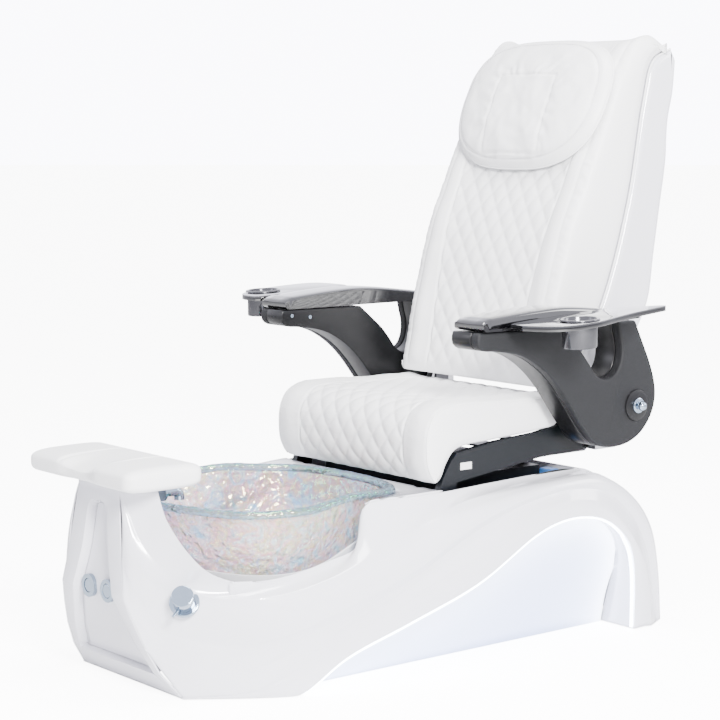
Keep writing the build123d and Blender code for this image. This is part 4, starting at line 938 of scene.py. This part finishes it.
def piping_tree():
    """A round cord that follows the lines of a mesh."""
    tree, start, end = geometry_tree("sewn_piping",
                                     [("Radius", "NodeSocketFloat"), ("Material", "NodeSocketMaterial")])
    path = node(tree, "GeometryNodeMeshToCurve", {"Mesh": start.outputs["Geometry"]})
    ring = node(tree, "GeometryNodeCurvePrimitiveCircle",
                {"Resolution": 8, "Radius": start.outputs["Radius"]})
    cord = node(tree, "GeometryNodeCurveToMesh",
                {"Curve": path.outputs[0], "Profile Curve": ring.outputs[0], "Fill Caps": True})
    whole = node(tree, "GeometryNodeRealizeInstances", {0: cord.outputs[0]})
    painted = node(tree, "GeometryNodeSetMaterial",
                   {"Geometry": whole.outputs[0], "Material": start.outputs["Material"]})
    tree.links.new(painted.outputs[0], end.inputs[0])
    return tree


def stitch_tree():
    """Short threads laid end to end along the lines of a mesh."""
    tree, start, end = geometry_tree(
        "sewn_stitches", [("Pitch", "NodeSocketFloat"), ("Length", "NodeSocketFloat"),
                          ("Radius", "NodeSocketFloat"), ("Material", "NodeSocketMaterial")])
    path = node(tree, "GeometryNodeMeshToCurve", {"Mesh": start.outputs["Geometry"]})
    even = node(tree, "GeometryNodeResampleCurve",
                {"Curve": path.outputs[0], "Length": start.outputs["Pitch"]}, mode="LENGTH")
    along = node(tree, "GeometryNodeInputTangent")
    turn = node(tree, "FunctionNodeAlignRotationToVector", {"Vector": along.outputs[0]}, axis="Z")
    thread = node(tree, "GeometryNodeMeshCylinder",
                  {"Vertices": 6, "Radius": start.outputs["Radius"], "Depth": start.outputs["Length"]})
    laid = node(tree, "GeometryNodeInstanceOnPoints",
                {"Points": even.outputs[0], "Instance": thread.outputs[0], "Rotation": turn.outputs[0]})
    whole = node(tree, "GeometryNodeRealizeInstances", {0: laid.outputs[0]})
    painted = node(tree, "GeometryNodeSetMaterial",
                   {"Geometry": whole.outputs[0], "Material": start.outputs["Material"]})
    tree.links.new(painted.outputs[0], end.inputs[0])
    return tree


def screw_tree():
    """Screw heads set on the points of a mesh, each turned to its point's normal."""
    tree, start, end = geometry_tree("screw_heads",
                                     [("Radius", "NodeSocketFloat"), ("Height", "NodeSocketFloat"),
                                      ("Material", "NodeSocketMaterial")])
    facing = node(tree, "GeometryNodeInputNamedAttribute", {"Name": "facing"}, data_type="FLOAT_VECTOR")
    turn = node(tree, "FunctionNodeAlignRotationToVector", {"Vector": facing.outputs[0]}, axis="Z")
    head = node(tree, "GeometryNodeMeshCone",
                {"Vertices": 20, "Radius Top": start.outputs["Radius"],
                 "Radius Bottom": start.outputs["Radius"],
                                               "Depth": start.outputs["Height"]})
    hex_key = node(tree, "GeometryNodeMeshCylinder", {"Vertices": 6, "Radius": 0.0019, "Depth": 0.004})
    moved = node(tree, "GeometryNodeTransform",
                 {"Geometry": hex_key.outputs[0], "Translation": (0, 0, 0.0030)})
    cut = node(tree, "GeometryNodeMeshBoolean", {"Mesh 1": head.outputs[0], "Mesh 2": moved.outputs[0]},
               operation="DIFFERENCE")
    laid = node(tree, "GeometryNodeInstanceOnPoints",
                {"Points": start.outputs["Geometry"], "Instance": cut.outputs[0],
                 "Rotation": turn.outputs[0]})
    whole = node(tree, "GeometryNodeRealizeInstances", {0: laid.outputs[0]})
    painted = node(tree, "GeometryNodeSetMaterial",
                   {"Geometry": whole.outputs[0], "Material": start.outputs["Material"]})
    tree.links.new(painted.outputs[0], end.inputs[0])
    return tree


TREES = {}


def grown(name, kind, lines, facing=None, **values):
    """Runs a geometry tree over lines or points, and keeps its result as a plain mesh."""
    if kind not in TREES:
        TREES[kind] = {"piping": piping_tree, "stitches": stitch_tree, "screws": screw_tree}[kind]()
    tree = TREES[kind]
    verts, edges = [], []
    for line in lines:
        first = len(verts)
        verts += [tuple(np.array(p) * MM) for p in line]
        if kind != "screws":
            edges += [(i, i + 1) for i in range(first, len(verts) - 1)]
    data = bpy.data.meshes.new(name + "_line")
    data.from_pydata(verts, edges, [])
    if facing:
        layer = data.attributes.new("facing", "FLOAT_VECTOR", "POINT")
        layer.data.foreach_set("vector", [c for way in facing for c in way])
    guide = bpy.data.objects.new(name + "_line", data)
    bpy.context.scene.collection.objects.link(guide)
    builder = guide.modifiers.new(kind, "NODES")
    builder.node_group = tree
    for item in tree.interface.items_tree:
        if item.in_out == "INPUT" and item.name in values:
            builder[item.identifier] = values[item.name]
    depsgraph = bpy.context.evaluated_depsgraph_get()
    mesh = bpy.data.meshes.new_from_object(guide.evaluated_get(depsgraph))
    mesh.name = name
    bpy.data.objects.remove(guide)
    for face in mesh.polygons:
        face.use_smooth = kind != "screws"
    piece = bpy.data.objects.new(name, mesh)
    bpy.context.scene.collection.objects.link(piece)
    return piece


# ---------------------------------------------------------------- upholstery
SEAT_HALF, BACK_HALF = 276.0, 258.0
SEAT_SIDE = [
    (2, 397), (-22, 431), (-28, 476), (-24, 516), (-7, 548), (26, 567), (80, 572), (200, 567), (330, 565),
    (380, 562), (393, 540),
    (378, 499), (310, 487), (183, 479), (61, 467), (34, 440), (16, 406),
]
BACK_FACE = [(341, 580), (352, 640), (372, 740), (425, 930), (482, 1060), (540, 1180), (592, 1300),
             (634, 1362), (672, 1393), (700, 1396)]
BACK_SEAM = [(762, 1374), (702, 1342), (672, 1250), (624, 1012), (543, 776), (450, 622), (415, 588)]
BACK_SPINE = [(783, 1348), (781, 1318), (776, 1270), (760, 1200), (755, 1106), (736, 990), (718, 880),
              (699, 767), (655, 690), (612, 645)]


def loop_normals(loop):
    """Outward normals of a closed side outline."""
    way = np.roll(loop, -1, axis=0) - np.roll(loop, 1, axis=0)
    way /= np.linalg.norm(way, axis=1)[:, None] + 1e-9
    out = np.column_stack([-way[:, 1], way[:, 0]])
    centre = loop.mean(axis=0)
    if ((loop - centre) * out).sum() < 0:
        out = -out
    return out


def padded_sweep(name, loop, half, radius, lift, material, pitch=4.0, crown=0.0):
    """A padded body: a closed side outline carried across, its ends rounded and slightly crowned."""
    out = loop_normals(loop)
    across = np.r_[np.linspace(-half, -half + radius, 9)[:-1],
                   np.linspace(-half + radius, half - radius, int(2 * half / pitch)),
                   np.linspace(half - radius, half, 9)[1:]]
    steps = np.linalg.norm(np.roll(loop, -1, axis=0) - loop, axis=1)
    run = np.r_[0, np.cumsum(steps)[:-1]]
    rings = []
    for x in across:
        over = min(max(0.0, abs(x) - (half - radius)), radius)
        rings.append((x, radius - (radius * radius - over * over) ** 0.5))
    verts = []
    for x, inset in rings:
        shift = lift(x, run, loop) - inset
        ring = loop + out * shift[:, None]
        verts.append(np.column_stack([np.full(len(ring), x), ring]) * MM)
    wide = len(loop)
    faces = net(verts, around=True)
    half_way = wide // 2
    for ring, sign in ((verts[0], -1), (verts[-1], 1)):
        ladder = []
        for share in (0.0, 0.06, 0.16, 0.3, 0.5, 0.7, 0.84, 0.94, 1.0):
            row = ring[:half_way] * (1 - share) + ring[::-1][:half_way] * share
            stand = crown * MM * (1 - (2 * share - 1) ** 4) * np.sin(pi * np.linspace(0, 1, half_way)) ** 0.4
            ladder.append(row + np.column_stack([stand * sign, stand * 0, stand * 0]))
        faces += net(ladder, base=sum(len(v) for v in verts) if sign < 0 else sum(len(v) for v in verts)
                     + 9 * half_way)
        if sign < 0:
            ladders = ladder
    verts = list(verts) + ladders + ladder
    return put(name, np.vstack(verts), faces, material, turn_out=True)


def diamonds(x, run, width, height):
    """0 on the stitched lines of a diamond quilt and 1 in the middle of each diamond."""
    u = (x / width + run / height) * 0.5 * 2
    v = (x / width - run / height) * 0.5 * 2
    return np.sqrt(np.abs(np.sin(pi * u) * np.sin(pi * v)))


def fade(value, low, high):
    """A smooth step from 0 at low to 1 at high."""
    t = np.clip((value - low) / (high - low), 0, 1)
    return t * t * (3 - 2 * t)


def crumple(x, y, z, size):
    """Soft irregular folds."""
    return noise.noise(Vector((x, y, z)) / size)


class CHAIR_OT_seat(bpy.types.Operator):
    """Sew the quilted seat cushion with its waterfall front and piped sides"""

    bl_idname = "chair.seat"
    bl_label = "Seat cushion"

    def execute(self, context):
        size = sizes()
        width, height, depth = size.quilt_width / MM, size.quilt_height / MM, size.quilt_depth / MM
        loop = curve_points(SEAT_SIDE, 400, closed=True)
        rear = int(np.argmin(np.hypot(loop[:, 0] - 386, loop[:, 1] - 560)))
        length = float(np.linalg.norm(np.diff(loop, axis=0), axis=1)[:rear].sum())

        def lift(x, run, ring):
            on_face = fade(run, -6, 18) * (1 - fade(run, length - 30, length - 6))
            centre = 1 - fade(abs(x), 186, 191)
            quilt = (diamonds(x, run, width, height) - 0.62) * depth * centre
            seam = -3.2 * exp(-(((abs(x) - 190) / 2.6) ** 2))
            bolster = 7.0 * exp(-(((abs(x) - 234) / 32) ** 2)) + 2.5 * (1 - (x / 190) ** 2) * (abs(x) < 190)
            folds = np.array([crumple(x, y, z, 46) * 1.5 + crumple(x, y * 2, z * 2, 17) * 0.5 for y,
                              z in ring]) * (1 - centre * 0.6)
            under = np.where(ring[:, 1] < 500, 0.0, 1.0)
            return (quilt + seam + bolster * 0.9) * on_face + folds * (0.4
                    + 0.6 * on_face) * np.maximum(on_face, under * 0.5)

        cushion = padded_sweep("seat_cushion_cover", loop, SEAT_HALF, 12.0, lift,
                               MATERIALS["leather_white"], pitch=3.3, crown=4.0)
        settle(cushion, "seat", ["seat_cushion"])
        out = loop_normals(loop)
        edge = loop - out * 2.2
        lines = []
        for side in (1, -1):
            lines.append([((SEAT_HALF - 4.0) * side, y, z) for y, z in edge[2 : rear + 2]])
        cord = grown("seat_piping", "piping", lines, Radius=size.piping_radius,
                     Material=MATERIALS["leather_white"])
        settle(cord, "seat")
        return {"FINISHED"}


def back_outline(count):
    """Closed side outline of the back cushion, and where its face ends."""
    front = curve_points(BACK_FACE, int(count * 0.5))
    seam = curve_points(BACK_SEAM, int(count * 0.5))
    loop = np.vstack([front, seam])
    return loop, len(front)


class CHAIR_OT_back(bpy.types.Operator):
    """Sew the quilted back cushion, and mould the shell behind it"""

    bl_idname = "chair.back"
    bl_label = "Back cushion and shell"

    def execute(self, context):
        size = sizes()
        width, height, depth = size.quilt_width / MM, size.quilt_height / MM, size.quilt_depth / MM
        rough = back_outline(420)[0]
        loop = spread(np.vstack([rough, rough[:1]]), 430, closed=True)
        tip = int(np.argmin(np.hypot(loop[:, 0] - 700, loop[:, 1] - 1396)))
        for _ in range(3):
            loop = (np.roll(loop, 1, axis=0) + 2 * loop + np.roll(loop, -1, axis=0)) / 4
        out = loop_normals(loop)
        length = float(np.linalg.norm(np.diff(loop, axis=0), axis=1)[:tip].sum())

        def lift(x, run, ring):
            on_face = fade(run, 4, 40) * (1 - fade(run, length - 60, length - 10))
            low = 1 - fade(run, length - 330, length - 300)
            edge = 158 + 26 * fade(run, 60, 560)
            centre = 1 - fade(abs(x), edge - 5, edge)
            quilt = (diamonds(x, run, width, height) - 0.62) * depth * centre * low
            seam = -3.4 * np.exp(-(((abs(x) - edge) / 2.8) ** 2)) - 2.4 * np.exp(-(((abs(x)
                    - 226) / 2.4) ** 2))
            bolster = 11.0 * np.exp(-(((abs(x) - 206) / 30) ** 2))
            wrinkle = np.array([crumple(x * 0.5, y * 0.6, z * 1.6, 13) for y,
                                z in ring]) * 2.6 * exp(-(((abs(x) - 242) / 12) ** 2))
            folds = np.array([crumple(x, y, z, 70) for y, z in ring]) * 3.0 * (1 - centre * 0.7)
            corner = 10.0 * exp(-(((abs(x) - 240) / 22) ** 2)) * np.exp(-(((run - length) / 45) ** 2))
            return (quilt + seam + bolster * 0.8) * on_face + (wrinkle + folds) * on_face + corner

        cushion = padded_sweep("back_cushion_cover", loop, BACK_HALF, 20.0, lift,
                               MATERIALS["leather_white"], pitch=3.6, crown=3.0)
        settle(cushion, "backrest", ["back_cushion"])
        lines = [[(side * (BACK_HALF - 5), y + 1.5, z) for y,
                  z in curve_points(BACK_SEAM, 130)] for side in (1, -1)]
        cord = grown("back_piping", "piping", lines, Radius=size.piping_radius * 0.9,
                     Material=MATERIALS["leather_white"])
        settle(cord, "backrest")
        inner = [(y + 4, z + (1 if z > 700 else 0)) for y, z in reversed(BACK_SEAM)]
        hull = np.vstack([curve_points(inner, 110), curve_points(BACK_SPINE, 110)])
        hull = spread(np.vstack([hull, hull[:1]]), 240, closed=True)

        def swell(x, run, ring):
            ripple = 5.0 * (1 - (x / 250) ** 2) * fade(ring[:, 0], 640, 720)
            return ripple

        shell = padded_sweep("back_shell_moulding", hull, BACK_HALF, 12.0, swell, MATERIALS["gelcoat"],
                             pitch=14.0)
        settle(shell, "backrest", ["back_shell"])
        return {"FINISHED"}


PILLOW_SPOT, PILLOW_LEAN = (0.0, 558.0, 1236.0), radians(24.0)
PILLOW_SIZE = (248.0, 169.0, 60.0)  # half width, half length, thickness


def pillow_point(a, b, c):
    """A point of the pillow: across, up its face and out from the back."""
    x, y, z = PILLOW_SPOT
    return (x + a, y + b * sin(PILLOW_LEAN) - c * cos(PILLOW_LEAN),
            z + b * cos(PILLOW_LEAN) + c * sin(PILLOW_LEAN))


def pillow_edge(turn):
    """The pillow's rounded outline."""
    c, s = cos(turn), sin(turn)
    half, length = PILLOW_SIZE[:2]
    power = 0.62 if s > 0 else 0.70
    return half * np.sign(c) * abs(c) ** power * (1.0 - 0.10 * max(0,
            -s)), length * np.sign(s) * abs(s) ** 0.66


class CHAIR_OT_pillow(bpy.types.Operator):
    """Sew the headrest pillow with its centre panel and piped flap"""

    bl_idname = "chair.pillow"
    bl_label = "Headrest pillow"

    def execute(self, context):
        count = 200
        thick = PILLOW_SIZE[2]
        turns = [2 * pi * k / count for k in range(count)]
        outline = np.array([pillow_edge(t) for t in turns])
        rings = []
        for share in (0.02, 0.3, 0.6, 0.85, 0.97):
            rings.append([pillow_point(a * share, b * share, 4 + 5 * share) for a, b in outline])
        for share in np.r_[1.0, 0.995, 0.985, np.linspace(0.97, 0.02, 58)]:
            ring = []
            for a, b in outline * share:
                crown = (thick - 12) * (1 - share**3.4) ** 0.62 + 10
                square = max(abs(a - 0) / 98, abs(b + 34) / 98)
                seam = 3.4 * exp(-(((max(abs(a) / 96,
                                         abs(b + 40) / 100) ** 1.0 - 1.0) / 0.028) ** 2)) * (b < 66)
                rim = 3.0 * exp(-(((share - 0.90) / 0.018) ** 2))
                radial = np.arctan2(b, a)
                pucker = 1.6 * sin(radial * 23 + 3 * noise.noise(Vector((a, b,
                        0)) / 40)) * exp(-(((square - 1.12) / 0.16) ** 2))
                fold = crumple(a, b, 3, 60) * 5.0 + crumple(a, b, 9, 22) * 1.7
                ring.append(pillow_point(a, b, crown - seam - rim + (fold + pucker) * (1 - share**6)))
            rings.append(ring)
        rings = [np.array(r) * MM for r in rings]
        pillow = tube("headrest_pillow_cover", rings, MATERIALS["leather_pillow"])
        settle(pillow, "backrest", ["headrest_pillow"])
        edge = [pillow_point(a * 1.0, b * 1.0, 9.5) for a, b in outline]
        cord = grown("pillow_piping", "piping", [edge + edge[:1]], Radius=sizes().piping_radius,
                     Material=MATERIALS["leather_pillow"])
        settle(cord, "backrest")
        panel = []
        for share in (0.895, 0.905):
            panel += [[pillow_point(a * share, b * share,
                                    (thick - 12) * (1 - share**3.4) ** 0.62 + 8.4) for a, b in outline]]
        panel = [line + line[:1] for line in panel]
        thread = grown("pillow_stitches", "stitches", panel, Pitch=sizes().stitch_length * 1.35,
                       Length=sizes().stitch_length, Radius=0.00045,
                       Material=MATERIALS["thread_white"])
        settle(thread, "backrest")
        return {"FINISHED"}


# ---------------------------------------------------------------- arms and trays
ARM_UNDER = [
    (14, 742), (10, 730), (12, 714), (26, 703), (60, 699), (110, 692), (150, 681), (190, 661), (226, 635),
    (258, 604), (295, 559),
    (334, 509), (368, 473), (396, 457), (424, 452), (462, 452), (494, 459), (522, 472), (548, 495),
    (568, 526), (576, 560), (572, 596),
    (556, 640), (536, 680), (512, 726), (504, 742),
]
ARM_OPENING = [(446, 742), (452, 716), (460, 684), (458, 652), (446, 628), (422, 614), (400, 613),
               (374, 628), (352, 655), (328, 682),
               (296, 709), (258, 740)]
ARM_FRAME_X, ARM_COVER_X = (310.0, 371.8), (372.4, 398.0)
REST_X = (308.0, 404.0)
REST_TOP = [(30, 772), (90, 777), (170, 783), (262, 786), (350, 780), (446, 769)]
PIVOT = (509.0, 543.0)
TRAY_TILT, TRAY_START_Y, TRAY_DEEP = 0.05, 40.0, 12.0
TRAYS = {
    "left": (758.0, (500, 218), [(406.4, 84), (450, 84), (470, 85), (496, 94), (518, 104), (536, 118),
                                 (548, 138), (554, 165), (553, 222), (543, 262),
             (530, 300), (508, 380), (492, 470), (486, 508), (480, 515), (470, 512), (440, 470),
             (406.4, 425)]),
    "right": (771.0, (-500, 94), [(-406.4, 14), (-458, 14), (-480, 18), (-500, 28), (-518, 48), (-538, 80),
                                  (-552, 120), (-562, 165), (-564, 206),
              (-562, 245), (-554, 278), (-537, 296), (-510, 303), (-473, 306), (-436, 306), (-412, 296),
              (-406.4, 278)]),
}
CUP_RADIUS = 39.0


def rounded(points, rounds=2):
    """A closed outline with its corners softened."""
    line = np.array(points, float)
    for _ in range(rounds):
        after = np.roll(line, -1, axis=0)
        line = np.stack([line * 0.78 + after * 0.22, line * 0.22 + after * 0.78], axis=1).reshape(-1, 2)
    return line


class CHAIR_OT_arms(bpy.types.Operator):
    """Mould both arms: satin frames, pebbled covers, lacquered tops, bolts and screws"""

    bl_idname = "chair.arms"
    bl_label = "Arms"

    def execute(self, context):
        under = curve_points(ARM_UNDER, 96)
        inside = curve_points(ARM_OPENING, 52)
        outline = np.vstack([under, inside]) * MM
        for name, side in SIDES:
            body = "arm_" + name
            low, high = sorted((ARM_FRAME_X[0] * side * MM, ARM_FRAME_X[1] * side * MM))
            core = plate("arm_frame_" + name + "_moulding", outline, low, high, MATERIALS["arm_satin"],
                         edge=0.0025)
            settle(core, body, ["arm_frame_" + name])
            low, high = sorted((ARM_COVER_X[0] * side * MM, ARM_COVER_X[1] * side * MM))
            cover = plate("arm_cover_" + name + "_moulding", outline, low, high, MATERIALS["arm_texture"],
                          edge=0.0055, steps=4)
            settle(cover, body, ["arm_cover_" + name])
            self.rest(name, side, body)
            self.bolt(name, side, body)
            spots = [(ARM_FRAME_X[0] - 0.5, 40, 728), (ARM_FRAME_X[0] - 0.5, 96, 722),
                     (ARM_FRAME_X[0] - 0.5, 330, 560), (ARM_FRAME_X[0] - 0.5, 412, 474)]
            heads = grown("arm_screws_" + name, "screws", [[(x * side, y, z) for x, y, z in spots]],
                          facing=[(-side, 0, 0)] * len(spots),
                          Radius=sizes().screw_radius, Height=0.0022, Material=MATERIALS["chrome"])
            settle(heads, body)
        return {"FINISHED"}

    def rest(self, name, side, body):
        """The arched lacquered top, its front cut back in a bevel."""
        top = curve_points(REST_TOP, 60)
        rings = []
        low, high = REST_X
        for y, z in top:
            drop = 4.0 * max(0.0, 1 - (y - 30) / 14)
            rings.append([(low, 744), (low, z - 9), (low + 1.2, z - 5 - drop), (low + 4, z - 2 - drop),
                          (low + 9, z - drop * 0.7), (low + 30, z + 0.6 - drop),
                          (high - 30, z + 0.6 - drop), (high - 9, z - drop * 0.7), (high - 4, z - 2 - drop),
                          (high - 1.2, z - 5 - drop), (high, z - 9), (high, 744)])
        sheet = [np.array([(x * side, y, z) for x, z in ring]) * MM for ring, (y, _) in zip(rings, top)]
        nose_rows = []
        for push, squeeze in ((-9.0, 0.45), (-6.5, 0.72), (-2.5, 0.93)):
            nose_rows.append(np.array([(x * side, 30 + push, 757 + (z - 757) * squeeze) for x,
                                       z in rings[0]]) * MM)
        rest = tube("armrest_top_" + name, nose_rows + sheet, MATERIALS["black_lacquer"])
        sharpen(rest, 40)
        settle(rest, body, ["armrest_" + name])

    def bolt(self, name, side, body):
        """The pivot: a dark stepped washer, a chrome nut and its ball end."""
        face = 398.0
        dark = [(0, 6), (20, 6), (24, 5.2), (31, 5.0), (36, 3.6), (37, 1.5), (37, -0.4)]
        bright = [(0, 29), (4, 28.6), (8, 26.4), (10.6, 22), (11.2, 18), (10.2, 14.5), (7.5, 12.2),
                  (7.2, 11), (15.5, 10.4), (17.5, 9.4), (17.8, 6.2), (17.8, 5)]
        for label, profile, material in (("washer", dark, "arm_satin"), ("nut", bright, "chrome")):
            rings = []
            for radius, out in profile:
                radius = max(radius, 0.05)
                rings.append([((face + out) * side * MM, (PIVOT[0] + radius * cos(t)) * MM,
                               (PIVOT[1] + radius * sin(t)) * MM)
                              for t in np.linspace(0, 2 * pi, 49)[:-1]])
            part = tube("arm_bolt_" + name + "_" + label, rings, MATERIALS[material])
            sharpen(part, 45)
            settle(part, body, ["arm_bolt_" + name] if label == "nut" else ())


class CHAIR_OT_trays(bpy.types.Operator):
    """Make both swing trays, lacquered, each with a sunk cup holder"""

    bl_idname = "chair.trays"
    bl_label = "Trays"

    def execute(self, context):
        for name, side in SIDES:
            top, cup, outline = TRAYS[name]
            body = "tray_" + name
            hole = [(cup[0] + (CUP_RADIUS + 0.3) * cos(t),
                     cup[1] + (CUP_RADIUS + 0.3) * sin(t)) for t in np.linspace(0, 2 * pi, 73)[:-1]]
            ring = rounded(outline, 2)
            board = plate("tray_" + name + "_board", ring * MM, (top - TRAY_DEEP) * MM, top * MM,
                          MATERIALS["black_lacquer"], edge=0.0022,
                          axis="z", hole=np.array(hole) * MM)
            for vert in board.data.vertices:
                vert.co.z += TRAY_TILT * (vert.co.y - TRAY_START_Y * MM)
            settle(board, body, ["tray_" + name])
            profile = [(33.5, -56), (36.2, -53), (36.4, 2.2), (37.2, 3.4), (40, 4.3), (43, 3.6),
                       (44.2, 2.0), (44.0, 0.6), (39.2, 0.4), (38.9, -57),
                       (37.5, -60), (30, -60.5), (0.05, -60.5), (0.05, -56.5), (20, -56.3)]
            rings = []
            for radius, rise in profile + profile[:1]:
                line = []
                for t in np.linspace(0, 2 * pi, 65)[:-1]:
                    x, y = cup[0] + radius * cos(t), cup[1] + radius * sin(t)
                    line.append((x * MM, y * MM, (top + rise + TRAY_TILT * (y - TRAY_START_Y)) * MM))
                rings.append(line)
            verts = np.vstack(rings[:-1])
            faces = [[i % len(verts) for i in face] for face in net(rings, around=True)]
            holder = put("cup_holder_" + name + "_spun", verts, faces, MATERIALS["cup_black"], turn_out=True)
            sharpen(holder, 50)
            settle(holder, body, ["cup_holder_" + name])
        return {"FINISHED"}


# ---------------------------------------------------------------- fittings
class CHAIR_OT_fittings(bpy.types.Operator):
    """Finish the fittings that keep their frame shapes"""

    bl_idname = "chair.fittings"
    bl_label = "Fittings"

    def execute(self, context):
        kept = {
            "well_white": "bowl_well footrest_sleeve rear_access_panel",
            "steel_dark": "base_frame slide_rails seat_frame back_frame massage_rails",
            "alloy": "slide_carriages arm_bracket_left arm_bracket_right footrest_post rear_panel_screws",
            "rubber_black": "bowl_gasket",
            "chrome": "drain_fitting mixer_escutcheon mixer_knob mixer_lever water_spout button_bezels button_left button_right",
            "black_plastic": "deck_well pedestal_box slide_motor jet_motor power_inlet seat_cover_left seat_cover_right massage_carriage"
                             " tray_bracket_left tray_bracket_right",
            "jet_plastic": "jet_housing jet_impeller",
            "blue_plastic": "hose_coupling",
            "label_white": "label_plate",
        }
        for finish, names in kept.items():
            for name in names.split():
                piece = NODES[name]
                piece.data.materials.clear()
                piece.data.materials.append(MATERIALS[finish])
        return {"FINISHED"}


# ---------------------------------------------------------------- registration
STEPS = ("materials", "stage", "base", "bowl", "footrest", "seat", "back", "pillow", "arms", "trays",
         "fittings")


class CHAIR_PT_panel(bpy.types.Panel):
    """Buttons that build the chair's pieces"""

    bl_idname = "CHAIR_PT_panel"
    bl_label = "Spa Chair"
    bl_space_type = "VIEW_3D"
    bl_region_type = "UI"
    bl_category = "Spa Chair"

    def draw(self, context):
        layout = self.layout
        for group in (context.scene.chair_sizes, context.scene.chair_colours):
            for key in group.__annotations__:
                layout.prop(group, key)
        for step in STEPS:
            layout.operator("chair." + step)


CLASSES = (ChairSizes, ChairColours, CHAIR_OT_materials, CHAIR_OT_stage, CHAIR_OT_base, CHAIR_OT_bowl,
           CHAIR_OT_footrest,
           CHAIR_OT_seat, CHAIR_OT_back, CHAIR_OT_pillow, CHAIR_OT_arms, CHAIR_OT_trays, CHAIR_OT_fittings,
           CHAIR_PT_panel)


def register():
    for made in CLASSES:
        bpy.utils.register_class(made)
    bpy.types.Scene.chair_sizes = PointerProperty(type=ChairSizes)
    bpy.types.Scene.chair_colours = PointerProperty(type=ChairColours)


def unregister():
    del bpy.types.Scene.chair_colours
    del bpy.types.Scene.chair_sizes
    for made in reversed(CLASSES):
        bpy.utils.unregister_class(made)


def main():
    register()
    for step in STEPS:
        getattr(bpy.ops.chair, step)()


if __name__ == "__main__":
    main()
